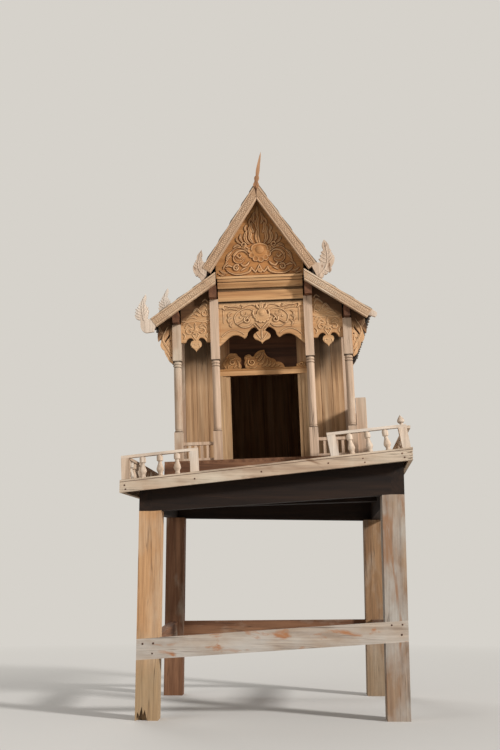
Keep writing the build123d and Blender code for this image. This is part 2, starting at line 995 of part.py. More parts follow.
with BuildPart() as over_door_board:
    lay_shape(
        [[(x * head_half, door_head_top + z * over_door_height) for x, z in run] for run in over_door_edge],
        elevation(front_wall_y - over_door_thickness),
        over_door_thickness,
    )
save(over_door_board, "over_door_board")

# Roof timbers: purlins on the columns and posts, rafters on the purlins
timber_front = roof_front + barge_thickness
timber_back = roof_back - barge_thickness
with BuildPart() as purlins:
    for side in (-1, 1):
        lay_board(
            mirrored(
                [
                    (lower_ridge_x, inner_purlin_bottom),
                    (inner_purlin_outer, inner_purlin_bottom),
                    (inner_purlin_outer, rafter_under(inner_purlin_outer)),
                    (lower_ridge_x, rafter_under(lower_ridge_x)),
                ],
                side,
            ),
            elevation(timber_front),
            timber_back - timber_front,
        )
        lay_board(
            mirrored(
                [
                    (outer_purlin_inner, outer_purlin_bottom),
                    (outer_purlin_outer, outer_purlin_bottom),
                    (outer_purlin_outer, rafter_under(outer_purlin_outer)),
                    (outer_purlin_inner, rafter_under(outer_purlin_inner)),
                ],
                side,
            ),
            elevation(timber_front),
            timber_back - timber_front,
        )
save(purlins, "purlins")

lower_eave_inset = math.sin(math.radians(lower_pitch))
upper_eave_inset = math.sin(math.radians(upper_pitch))
lower_slab_foot = (
    lower_eave_x - roof_thickness * lower_eave_inset,
    lower_top(lower_eave_x) - roof_thickness * lower_cosine,
)
lower_barge_foot = (
    lower_eave_x - barge_width * lower_eave_inset,
    lower_top(lower_eave_x) - barge_width * lower_cosine,
)
upper_slab_foot = (
    upper_eave_x - roof_thickness * upper_eave_inset,
    upper_top(upper_eave_x) - roof_thickness * upper_cosine,
)
upper_barge_foot = (
    upper_eave_x - barge_width * upper_eave_inset,
    upper_top(upper_eave_x) - barge_width * upper_cosine,
)

with BuildPart() as rafters:
    for side in (-1, 1):
        for row in range(rafter_count):
            row_y = column_front + first_rafter + row * rafter_spacing
            lay_board(
                mirrored(
                    [
                        (lower_ridge_x, lower_under(lower_ridge_x)),
                        lower_slab_foot,
                        lower_barge_foot,
                        (lower_ridge_x, rafter_under(lower_ridge_x)),
                    ],
                    side,
                ),
                elevation(row_y - rafter_width / 2),
                rafter_width,
            )
save(rafters, "rafters")

beam_back = column_front + beam_thickness
with BuildPart() as clerestory_boards:
    for side in (-1, 1):
        outline = mirrored(
            [
                (clerestory_inner, inner_purlin_bottom),
                (lower_ridge_x, inner_purlin_bottom),
                (lower_ridge_x, upper_under(lower_ridge_x)),
                (clerestory_inner, upper_under(clerestory_inner)),
            ],
            side,
        )
        lay_board(outline, elevation(beam_back), back_wall_y - beam_back)
save(clerestory_boards, "clerestory_boards")

# Roof slopes
for side, outward in (("left", -1), ("right", 1)):
    with BuildPart() as upper_roof:
        lay_board(
            mirrored(
                [
                    (0, apex_height),
                    (upper_eave_x, upper_top(upper_eave_x)),
                    upper_slab_foot,
                    (0, upper_under(0)),
                ],
                outward,
            ),
            elevation(timber_front),
            timber_back - timber_front,
        )
    save(upper_roof, f"upper_roof_{side}")

with BuildPart() as lower_roofs:
    for side in (-1, 1):
        lay_board(
            mirrored(
                [
                    (lower_ridge_x, lower_ridge_height),
                    (lower_eave_x, lower_top(lower_eave_x)),
                    lower_slab_foot,
                    (lower_ridge_x, lower_under(lower_ridge_x)),
                ],
                side,
            ),
            elevation(timber_front),
            timber_back - timber_front,
        )
save(lower_roofs, "lower_roofs")

cap_rise = cap_thickness / upper_cosine
cap_lip = (
    cap_half_width + cap_thickness * math.sin(math.radians(upper_pitch)),
    upper_top(cap_half_width) + cap_thickness * upper_cosine,
)
with BuildPart() as ridge_cap:
    lay_board(
        [
            (0, apex_height),
            (cap_half_width, upper_top(cap_half_width)),
            cap_lip,
            (0, apex_height + cap_rise),
            (-cap_lip[0], cap_lip[1]),
            (-cap_half_width, upper_top(cap_half_width)),
        ],
        elevation(timber_front),
        timber_back - timber_front,
    )
save(ridge_cap, "ridge_cap")

# Barge boards close the roof's ends, with a hair's gap at the mitre
mitre_gap = 0.5
barge_planes = (roof_front, roof_back - barge_thickness)
with BuildPart() as upper_barges:
    for y in barge_planes:
        for side in (-1, 1):
            lay_board(
                mirrored(
                    [
                        (mitre_gap, upper_top(mitre_gap)),
                        (upper_eave_x, upper_top(upper_eave_x)),
                        upper_barge_foot,
                        (mitre_gap, upper_top(mitre_gap) - barge_width / upper_cosine),
                    ],
                    side,
                ),
                elevation(y),
                barge_thickness,
            )
save(upper_barges, "upper_barges")

with BuildPart() as lower_barges:
    for y in barge_planes:
        for side in (-1, 1):
            lay_board(
                mirrored(
                    [
                        (lower_ridge_x, lower_ridge_height),
                        (lower_eave_x, lower_top(lower_eave_x)),
                        lower_barge_foot,
                        (lower_ridge_x, rafter_under(lower_ridge_x)),
                    ],
                    side,
                ),
                elevation(y),
                barge_thickness,
            )
save(lower_barges, "lower_barges")

# Front beam: a plain board with a groove, a curved moulding and two bands over it. The moulding's face is
# given in shares of its projection in front of the board and of its height.
beam_half = inner_column_x - column_width / 2
beam_bottom = inner_purlin_bottom - beam_drop
beam_top = beam_bottom + beam_height
moulding_top = beam_top + moulding_height
moulding_edge = [
    [(0, 0)],
    [(-0.45, 0.03), (-0.45, 0.2)],
    [(0.1, 0.22), (0.24, 0.34), (0.6, 0.45), (0.75, 0.59)],
    [(0.5, 0.6), (0.5, 0.63)],
    [(0.88, 0.63), (0.88, 0.81)],
    [(0.65, 0.82), (0.65, 0.84)],
    [(1.0, 0.84), (1.0, 1.0)],
]
beam_outline = [
    [(beam_back, moulding_top), (beam_back, beam_bottom)],
    [(column_front, beam_bottom)],
]
for run in moulding_edge:
    beam_outline.append(
        [(column_front - out * moulding_projection, beam_top + up * moulding_height) for out, up in run]
    )
beam_end = Plane(
    origin=house_frame.from_local_coords(Vector(beam_half, 0, 0)),
    x_dir=(0, 1, 0),
    z_dir=house_frame.x_dir,
)
with BuildPart() as front_beam:
    lay_shape(beam_outline, beam_end, 2 * beam_half)
save(front_beam, "front_beam")

with BuildPart() as front_pediment:
    lay_board(
        [
            (-lower_ridge_x, moulding_top),
            (lower_ridge_x, moulding_top),
            (lower_ridge_x, upper_under(lower_ridge_x)),
            (0, upper_under(0)),
            (-lower_ridge_x, upper_under(lower_ridge_x)),
        ],
        elevation(beam_back - pediment_thickness),
        pediment_thickness,
    )
save(front_pediment, "front_pediment")

# Valances: scalloped boards with a hanging heart. The lower edge of the right half is given in shares of
# the half width and of the drop, as the heart, the arch beside it and the scallops that follow.
valance_front = column_front + valance_set_back
centre_valance_edge = [
    [(0, 1.0), (0.07, 0.93), (0.157, 0.886), (0.197, 0.827), (0.157, 0.757), (0.086, 0.713)],
    [(0.086, 0.713), (0.101, 0.639), (0.167, 0.609), (0.2525, 0.644), (0.333, 0.728)],
    [(0.333, 0.728), (0.354, 0.807), (0.414, 0.861)],
    [(0.414, 0.861), (0.495, 0.807), (0.626, 0.777), (0.768, 0.832), (0.9, 0.9455), (1.0, 1.025)],
]
side_valance_edge = [
    [(0, 1.0), (0.204, 0.887), (0.365, 0.795), (0.35, 0.715), (0.16, 0.656)],
    [(0.16, 0.656), (0.204, 0.596), (0.38, 0.563), (0.555, 0.596), (0.67, 0.662)],
    [(0.67, 0.662), (0.7, 0.69), (0.76, 0.709)],
    [(1.0, 0.709)],
]


def valance_runs(edge, centre, half_width, top, drop):
    right = [[(x * half_width, top - z * drop) for x, z in run] for run in edge]
    left = [[(-x, z) for x, z in reversed(run)] for run in reversed(right)]
    whole = right + [[(half_width, top)], [(-half_width, top)]] + left
    return [[(centre + x, z) for x, z in run] for run in whole]


with BuildPart() as centre_valance:
    lay_shape(
        valance_runs(centre_valance_edge, 0, beam_half, beam_bottom, centre_valance_drop),
        elevation(valance_front),
        valance_thickness,
    )
save(centre_valance, "centre_valance")

side_valance_centre = (inner_column_x + outer_column_x) / 2
side_valance_half_width = (outer_column_x - inner_column_x - column_width) / 2
side_valance_joint = outer_purlin_bottom + spandrel_drop
with BuildPart() as side_valances:
    for side in (-1, 1):
        lay_shape(
            valance_runs(
                side_valance_edge,
                side * side_valance_centre,
                side_valance_half_width,
                side_valance_joint,
                side_valance_drop,
            ),
            elevation(valance_front),
            valance_thickness,
        )
save(side_valances, "side_valances")

bay_inner = inner_column_x + column_width / 2
bay_outer = outer_column_x - column_width / 2
with BuildPart() as spandrels:
    for side in (-1, 1):
        lay_board(
            mirrored(
                [
                    (bay_inner, side_valance_joint),
                    (bay_outer, side_valance_joint),
                    (bay_outer, lower_under(bay_outer)),
                    (bay_inner, lower_under(bay_inner)),
                ],
                side,
            ),
            elevation(valance_front),
            valance_thickness,
        )
save(spandrels, "spandrels")

# Brackets: leaf scrolls under the eaves with a curled slit cut through, both given in shares of the
# bracket's reach and height
bracket_bottom = neck_top - 9
bracket_height = outer_purlin_bottom - bracket_bottom
bracket_edge = [
    [(0.93, 0.86), (1.0, 0.72), (0.96, 0.6)],
    [(0.96, 0.6), (0.84, 0.66), (0.7, 0.755)],
    [(0.7, 0.755), (0.76, 0.62), (0.83, 0.503)],
    [(0.83, 0.503), (0.72, 0.4), (0.57, 0.357)],
    [(0.57, 0.357), (0.52, 0.26), (0.39, 0.175)],
    [(0.39, 0.175), (0.24, 0.06), (0.03, 0.0)],
]
slit_edge = [
    [(0.05, 0.87), (0.12, 0.76), (0.27, 0.66), (0.43, 0.58), (0.45, 0.51), (0.37, 0.49), (0.31, 0.52)],
    [(0.24, 0.49), (0.36, 0.44), (0.53, 0.49), (0.53, 0.59), (0.36, 0.7), (0.22, 0.79), (0.13, 0.89)],
]


def on_bracket(edge):
    return [
        [(post_outer + x * bracket_reach, bracket_bottom + z * bracket_height) for x, z in run]
        for run in edge
    ]


bracket_top_outer = post_outer + 0.86 * bracket_reach
with BuildPart() as eave_brackets:
    for side in (-1, 1):
        outline = [
            [(post_outer, lower_under(post_outer))],
            [(bracket_top_outer, lower_under(bracket_top_outer))],
        ] + on_bracket(bracket_edge)
        lay_shape(
            mirrored_runs(outline + [[(post_outer, neck_top)]], side),
            elevation(valance_front),
            valance_thickness,
        )
        lay_shape(
            mirrored_runs(on_bracket(slit_edge), side),
            elevation(valance_front),
            valance_thickness,
            mode=Mode.SUBTRACT,
        )
save(eave_brackets, "eave_brackets")

with BuildPart() as porch_railings:
    for side in (-1, 1):
        for low, high in ((0, porch_rail_depth), (porch_rail_height - porch_rail_depth, porch_rail_height)):
            lay_board(
                mirrored([(bay_inner, low), (bay_outer, low), (bay_outer, high), (bay_inner, high)], side),
                elevation(valance_front),
                valance_thickness,
            )
        for place in spread(bay_inner, bay_outer, 4):
            lay_board(
                mirrored(
                    [
                        (place - porch_slat_width / 2, 0),
                        (place + porch_slat_width / 2, 0),
                        (place + porch_slat_width / 2, porch_rail_height),
                        (place - porch_slat_width / 2, porch_rail_height),
                    ],
                    side,
                ),
                elevation(valance_front + porch_slat_inset),
                valance_thickness - 2 * porch_slat_inset,
            )
save(porch_railings, "porch_railings")

# Ridge horns: a beaded stem with a slender leaning blade, in shares of the half width and of the height
horn_edge = [
    [(1.0, 0.02), (0.72, 0.07)],
    [(0.72, 0.07), (1.15, 0.12), (1.15, 0.18), (0.65, 0.22)],
    [(0.65, 0.22), (0.9, 0.38), (0.66, 0.62), (0.5, 0.85), (0.15, 1.0)],
    [(0.15, 1.0), (-0.2, 0.87), (-0.62, 0.65), (-0.88, 0.4), (-0.65, 0.22)],
    [(-0.65, 0.22), (-1.15, 0.18), (-1.15, 0.12), (-0.72, 0.07)],
    [(-0.72, 0.07), (-1.0, 0.02)],
]
horn_runs = [
    [(x * horn_half_width + horn_lean * z * horn_height, apex_height + z * horn_height) for x, z in run]
    for run in horn_edge
]
horn_seat = [
    [(-horn_half_width, upper_top(horn_half_width))],
    [(0, apex_height)],
    [(horn_half_width, upper_top(horn_half_width))],
]
with BuildPart() as ridge_horns:
    for y in barge_planes:
        lay_shape(
            horn_seat + horn_runs,
            elevation(y + (barge_thickness - horn_thickness) / 2),
            horn_thickness,
        )
    for y in (roof_front - boss_thickness, roof_back):
        with BuildSketch(elevation(y)) as boss:
            with Locations((0, apex_height - boss_radius)):
                Circle(boss_radius)
        extrude(boss.sketch, amount=-boss_thickness)
save(ridge_horns, "ridge_horns")

# Flames: serrated leaves, given from the outer to the inner side of the waist in shares of the width
# and of the height
leaf_edge = [
    [(0.245, 0.0), (0.52, 0.04), (0.65, 0.18)],
    [(0.48, 0.17), (0.57, 0.23), (0.62, 0.31)],
    [(0.44, 0.28), (0.54, 0.34), (0.6, 0.43)],
    [(0.39, 0.39), (0.43, 0.44), (0.46, 0.5)],
    [(0.31, 0.46), (0.35, 0.51), (0.365, 0.58)],
    [(0.365, 0.58), (0.215, 0.705), (0.05, 0.85), (-0.16, 1.0)],
    [(-0.16, 1.0), (-0.19, 0.87), (-0.14, 0.75), (-0.07, 0.62)],
    [(-0.07, 0.62), (-0.14, 0.6), (-0.195, 0.55)],
    [(-0.135, 0.46), (-0.23, 0.49), (-0.32, 0.48)],
    [(-0.22, 0.36), (-0.3, 0.385), (-0.37, 0.36)],
    [(-0.37, 0.36), (-0.31, 0.21), (-0.26, 0.0)],
]


def leaf_runs(waist, width, height):
    foot_x, foot_z = waist
    return [[(foot_x + x * width, foot_z + z * height) for x, z in run] for run in leaf_edge]


def from_point(point, offsets):
    return [(point[0] + x, point[1] + z) for x, z in offsets]


# The upper flames grow from the ends of the upper barge boards and curl down below them. Their outlines
# run from the inner foot over the tip to the lower tip, in shares of the width and of the height.
upper_flame_edge = {
    "left": [
        [(-0.29, 0.29), (-0.12, 0.36), (-0.05, 0.49)],
        [(0.05, 0.6), (-0.08, 0.7), (-0.07, 0.82), (0.02, 1.0)],
        [(0.02, 1.0), (0.2, 0.86), (0.42, 0.74), (0.55, 0.52)],
        [(0.5, 0.46), (0.62, 0.45), (0.71, 0.4)],
        [(0.67, 0.31), (0.8, 0.31), (0.88, 0.27)],
        [(0.84, 0.18), (0.92, 0.17), (0.97, 0.14)],
        [(0.97, 0.14), (1.02, -0.02), (0.79, -0.3)],
        [(0.79, -0.3), (0.74, -0.38), (0.6, -0.43)],
        [(0.5, -0.39), (0.44, -0.47), (0.32, -0.49)],
        [(0.32, -0.49), (0.22, -0.6), (0.05, -0.7)],
        [(0.05, -0.7), (-0.2, -0.56), (-0.42, -0.42)],
    ],
    "right": [
        [(0.24, 0.0), (0.2, 0.1), (0.13, 0.17)],
        [(0.21, 0.19), (0.25, 0.26), (0.21, 0.33)],
        [(0.28, 0.34), (0.32, 0.41), (0.28, 0.48)],
        [(0.34, 0.48), (0.41, 0.58), (0.35, 0.73), (0.38, 0.86), (0.48, 1.0)],
        [(0.48, 1.0), (0.58, 0.92), (0.7, 0.8), (0.75, 0.6)],
        [(0.75, 0.6), (0.82, 0.56), (0.86, 0.5)],
        [(0.81, 0.44), (0.89, 0.42), (0.93, 0.37)],
        [(0.88, 0.31), (0.96, 0.32), (1.0, 0.28)],
        [(1.0, 0.28), (1.02, 0.12), (0.92, -0.07), (0.81, -0.18)],
        [(0.84, -0.27), (0.79, -0.36), (0.69, -0.41)],
        [(0.63, -0.35), (0.58, -0.46), (0.43, -0.5)],
        [(0.4, -0.45), (0.36, -0.58), (0.25, -0.655)],
        [(0.25, -0.655), (0.13, -0.6), (-0.01, -0.54)],
    ],
}
upper_eave = (upper_eave_x, upper_top(upper_eave_x))
upper_seat = (-upper_flame_seat * upper_eave_inset, -upper_flame_seat * upper_cosine)
with BuildPart() as gable_flames:
    for y in barge_planes:
        for name, side in (("left", -1), ("right", 1)):
            lap = (-upper_flame_lap[name] * upper_cosine, upper_flame_lap[name] * upper_eave_inset)
            leaf = [
                from_point(
                    upper_eave,
                    [(x * upper_flame_width[name], z * upper_flame_height[name]) for x, z in run],
                )
                for run in upper_flame_edge[name]
            ]
            seat = [from_point(upper_eave, [upper_seat]), [upper_eave], from_point(upper_eave, [lap])]
            lay_shape(
                mirrored_runs(leaf + seat, side),
                elevation(y + (barge_thickness - flame_thickness) / 2),
                flame_thickness,
            )
save(gable_flames, "gable_flames")

# A lower flame grows from a rounded block on the end of the front left barge board. The front right one
# has broken off and left a stub. Both outlines are given in shares of the flame's width and height.
lower_eave = (lower_eave_x, lower_top(lower_eave_x))
lower_seat = [(0, 0), (-lower_flame_seat * lower_eave_inset, -lower_flame_seat * lower_cosine)]
stub_seat = [(0, 0), (-stub_height * lower_eave_inset, -stub_height * lower_cosine)]
block_edge = [
    [(-0.26, -0.39)],
    [(-0.23, -0.52), (0.29, -0.55)],
    [(0.29, -0.55), (0.49, -0.51), (0.66, -0.4), (0.72, -0.27)],
]
stub_edge = [
    [(0.2, -0.3), (0.25, -0.27)],
    [(0.25, -0.27), (0.33, -0.2), (0.3, -0.115)],
]


def on_lower_eave(edge):
    return [
        from_point(lower_eave, [(x * lower_flame_width, z * lower_flame_height) for x, z in run])
        for run in edge
    ]


flame_seats = [[point] for point in from_point(lower_eave, lower_seat)]
stub_seats = [[point] for point in from_point(lower_eave, stub_seat)]
eave_flame_plane = elevation(barge_planes[0] + (barge_thickness - flame_thickness) / 2)
with BuildPart() as eave_flames:
    waist = (lower_eave_x + lower_flame_reach, lower_eave[1] - 3)
    flame = leaf_runs(waist, lower_flame_width, lower_flame_height) + flame_seats + on_lower_eave(block_edge)
    lay_shape(mirrored_runs(flame, -1), eave_flame_plane, flame_thickness)
    lay_shape(stub_seats + on_lower_eave(stub_edge), eave_flame_plane, flame_thickness)
save(eave_flames, "eave_flames")

# One more flame stands on the lower left slope, close behind its barge board and cut to the slope
roof_flame_left = roof_flame_x + roof_flame_width
roof_flame_right = roof_flame_x - roof_flame_width
with BuildPart() as roof_flame:
    foot = (roof_flame_x, lower_top(roof_flame_x) - roof_flame_sink)
    roof_flame_plane = elevation(timber_front + barge_thickness / 2)
    lay_shape(
        mirrored_runs(leaf_runs(foot, roof_flame_width, roof_flame_height), -1),
        roof_flame_plane,
        flame_thickness,
    )
    cut_board(
        mirrored(
            [
                (roof_flame_left, lower_top(roof_flame_left)),
                (roof_flame_right, lower_top(roof_flame_right)),
                (roof_flame_right, lower_top(roof_flame_left)),
            ],
            -1,
        ),
        roof_flame_plane,
        flame_thickness,
    )
save(roof_flame, "roof_flame")
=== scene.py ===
import math
from collections import namedtuple

import bmesh
import bpy
import numpy as np
from mathutils import Matrix, Vector


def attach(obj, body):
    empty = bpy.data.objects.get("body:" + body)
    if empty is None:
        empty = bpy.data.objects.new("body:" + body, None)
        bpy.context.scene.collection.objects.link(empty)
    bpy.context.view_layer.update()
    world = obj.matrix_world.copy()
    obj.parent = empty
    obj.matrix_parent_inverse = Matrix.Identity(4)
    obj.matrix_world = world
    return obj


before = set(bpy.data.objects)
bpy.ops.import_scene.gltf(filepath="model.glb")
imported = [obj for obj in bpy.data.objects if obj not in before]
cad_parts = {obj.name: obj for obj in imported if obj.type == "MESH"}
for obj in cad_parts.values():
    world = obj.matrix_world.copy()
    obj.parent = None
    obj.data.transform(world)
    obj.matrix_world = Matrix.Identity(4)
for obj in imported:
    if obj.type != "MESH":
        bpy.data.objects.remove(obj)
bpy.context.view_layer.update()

# The stand's deck, in metres: how high its corners lie, since they settled by different amounts
DECK_WIDTH = 1.273
DECK_DEPTH = 1.315
FRONT_LEFT = 1.0
FRONT_RIGHT = 1.139
BACK_LEFT = 1.056
BACK_RIGHT = 1.04
BOARDED_WIDTH = 1.235
# The lip lies on the deck: height of the seam under it, over the deck, and half its thickness
LIP_SEAM = (0.0, 0.0016)
# Over this height above the deck a balustrade is its rail
RAIL_FOOT = 0.1005

# The house leans. Its own frame is in millimetres, from the middle of its floor.
LEAN = math.radians(2.0)
FLOOR_LEVEL = 1.122
ROOF_THICKNESS = 22.0
ROOF_MIDDLE = 7.5
FRONT_PURLIN = 752.5
BACK_PURLIN = 750.0

# Each tier of the roof: its pitch, the top end of its barge boards, their length and the vine's reach
# along them, the eave, and the courses of shingles
Tier = namedtuple("Tier", "pitch top length reach eave courses course")
TIERS = {
    "upper": Tier(math.radians(57.0), (0.0, 1298.6), 486.0, (62.0, 476.0), (265.0, 890.5), 9, 0.0514),
    "lower": Tier(math.radians(34.7), (205.0, 868.0), 368.0, (30.0, 358.0), (508.0, 658.2), 6, 0.048),
}
UPPER = TIERS["upper"]
LOWER = TIERS["lower"]
LOWER_TOP = LOWER.top[1] + LOWER.top[0] * math.tan(LOWER.pitch)


def house(x, y, z):
    """World point of a place given in millimetres in the leaning house's own frame."""
    x, y, z = x / 1000, y / 1000, z / 1000
    return Vector((
        x * math.cos(LEAN) - z * math.sin(LEAN),
        y,
        FLOOR_LEVEL + x * math.sin(LEAN) + z * math.cos(LEAN),
    ))


def tint(colour):
    """Linear colour of an ordinary 0 to 255 colour."""
    shares = [part / 255 for part in colour]
    linear = [share / 12.92 if share < 0.04045 else ((share + 0.055) / 1.055) ** 2.4 for share in shares]
    return (*linear, 1.0)


# Nodes, for materials and for repeats

def link(tree, value, socket):
    """Lead another node's result into a socket, or set the socket's own value."""
    if isinstance(value, bpy.types.NodeSocket):
        tree.links.new(value, socket)
    else:
        socket.default_value = value


def add_node(tree, kind, settings=None, **values):
    """Add a node and fill the inputs that are named, with _ for a space."""
    made = tree.nodes.new(kind)
    for key, value in (settings or {}).items():
        setattr(made, key, value)
    for key, value in values.items():
        link(tree, value, made.inputs[key.replace("_", " ")])
    return made


def maths(tree, operation, first, second=0.0, clamp=False):
    made = add_node(tree, "ShaderNodeMath", {"operation": operation, "use_clamp": clamp})
    link(tree, first, made.inputs[0])
    link(tree, second, made.inputs[1])
    return made.outputs[0]


def separate(tree, vector):
    return add_node(tree, "ShaderNodeSeparateXYZ", Vector=vector).outputs


def combine(tree, x, y, z):
    return add_node(tree, "ShaderNodeCombineXYZ", X=x, Y=y, Z=z).outputs[0]


def mapped(tree, vector, **values):
    return add_node(tree, "ShaderNodeMapping", Vector=vector, **values).outputs[0]


def mix(tree, factor, first, second, mode="MIX", kind="RGBA"):
    """Mix two colours, or two vectors, by a factor."""
    made = add_node(tree, "ShaderNodeMix", {"data_type": kind, "blend_type": mode})
    first_input, output = {"RGBA": (6, 2), "VECTOR": (4, 1)}[kind]
    link(tree, factor, made.inputs[0])
    link(tree, first, made.inputs[first_input])
    link(tree, second, made.inputs[first_input + 1])
    return made.outputs[output]


def ramp(tree, factor, stops):
    """A ramp whose stops are a place and either a colour or a lightness."""
    made = tree.nodes.new("ShaderNodeValToRGB")
    tree.links.new(factor, made.inputs[0])
    band = made.color_ramp
    while len(band.elements) < len(stops):
        band.elements.new(0.5)
    for element, (place, look) in zip(band.elements, stops):
        element.position = place
        element.color = look if isinstance(look, tuple) else (look, look, look, 1.0)
    return made.outputs[0]


def noise(tree, where, detail, rough=0.6, distort=0.0):
    return add_node(
        tree, "ShaderNodeTexNoise", Vector=where, Scale=1.0, Detail=detail, Roughness=rough,
        Distortion=distort,
    ).outputs[0]


def over_deck(tree, place):
    """Height of a place over the twisted deck."""
    x, y, z = separate(tree, place)
    across = maths(tree, "ADD", maths(tree, "DIVIDE", x, DECK_WIDTH), 0.5)
    along = maths(tree, "ADD", maths(tree, "DIVIDE", y, DECK_DEPTH), 0.5)
    left = maths(tree, "ADD", maths(tree, "MULTIPLY", along, BACK_LEFT - FRONT_LEFT), FRONT_LEFT)
    front_rise = FRONT_RIGHT - FRONT_LEFT
    back_rise = BACK_RIGHT - BACK_LEFT
    rise = maths(tree, "SUBTRACT", front_rise, maths(tree, "MULTIPLY", along, front_rise - back_rise))
    deck = maths(tree, "ADD", left, maths(tree, "MULTIPLY", across, rise))
    return maths(tree, "SUBTRACT", z, deck)


def in_house(tree, place, aside=(0.0, 0.0)):
    """A place in the leaning house's own frame, in metres, set aside by a step if one is given."""
    return mapped(tree, mapped(tree, place, Location=(*aside, -FLOOR_LEVEL)), Rotation=(0.0, LEAN, 0.0))


# Weathered wood

BOARD_DRIFT = (0.37, 0.71, 0.53)
SPLIT_COLOUR = (52, 34, 22)
SEAM_COLOUR = (74, 50, 35)
# Painted shadow of the lower roof: how light wood under it is painted, at shares of the reach below the
# roof's line
ROOF_SHADOW_REACH = 200.0
ROOF_SHADOW_STOPS = ((0.0, 0.16), (0.43, 0.18), (0.52, 0.62), (0.6, 1.0))
finishes = {}


def grain_place(tree, place, offset, leaning, pitch, rail_along, boards, board_axis):
    """Where a place lies in its timber: turned to the lean, slope or rail, and shifted board by board."""
    aside = (offset, offset * 0.7)
    turned = in_house(tree, place, aside) if leaning else mapped(tree, place, Location=(*aside, 0.0))
    if pitch:
        x, y, z = separate(tree, turned)
        folded = combine(tree, maths(tree, "ABSOLUTE", x), y, z)
        turned = mapped(tree, folded, Rotation=(0.0, -pitch, 0.0))
    if rail_along:
        x, y, z = separate(tree, turned)
        lying = combine(tree, z, 0.0, x) if rail_along == "X" else combine(tree, 0.0, z, y)
        on_rail = maths(tree, "GREATER_THAN", over_deck(tree, place), RAIL_FOOT)
        turned = mix(tree, on_rail, turned, lying, kind="VECTOR")
    if boards:
        parts = separate(tree, turned)
        board = maths(tree, "FLOOR", maths(tree, "DIVIDE", parts[board_axis], boards))
        turned = combine(tree, *[
            maths(tree, "ADD", part, maths(tree, "MULTIPLY", board, drift))
            for part, drift in zip(parts, BOARD_DRIFT)
        ])
    return turned


def painted_roof_shadow(tree, place):
    """How light the painted shadow of the lower roof leaves wood, by its depth below the roof's line."""
    x, y, z = separate(tree, in_house(tree, place))
    fall = maths(tree, "MULTIPLY", maths(tree, "ABSOLUTE", x), math.tan(LOWER.pitch))
    below = maths(tree, "SUBTRACT", maths(tree, "SUBTRACT", LOWER_TOP / 1000, fall), z)
    return ramp(tree, maths(tree, "MULTIPLY", below, 1000 / ROOF_SHADOW_REACH), [
        (share, (light, light ** 1.15, light ** 1.3, 1.0)) for share, light in ROOF_SHADOW_STOPS
    ])


def painted_shade_share(tree, place, shade_heights):
    """How light painted shade leaves wood, by its height in the house."""
    low, high, stops = shade_heights
    share = maths(tree, "SUBTRACT", separate(tree, in_house(tree, place))[2], low / 1000)
    share = maths(tree, "MULTIPLY", share, 1000 / (high - low), clamp=True)
    return ramp(tree, share, [((height - low) / (high - low), light) for height, light in stops])


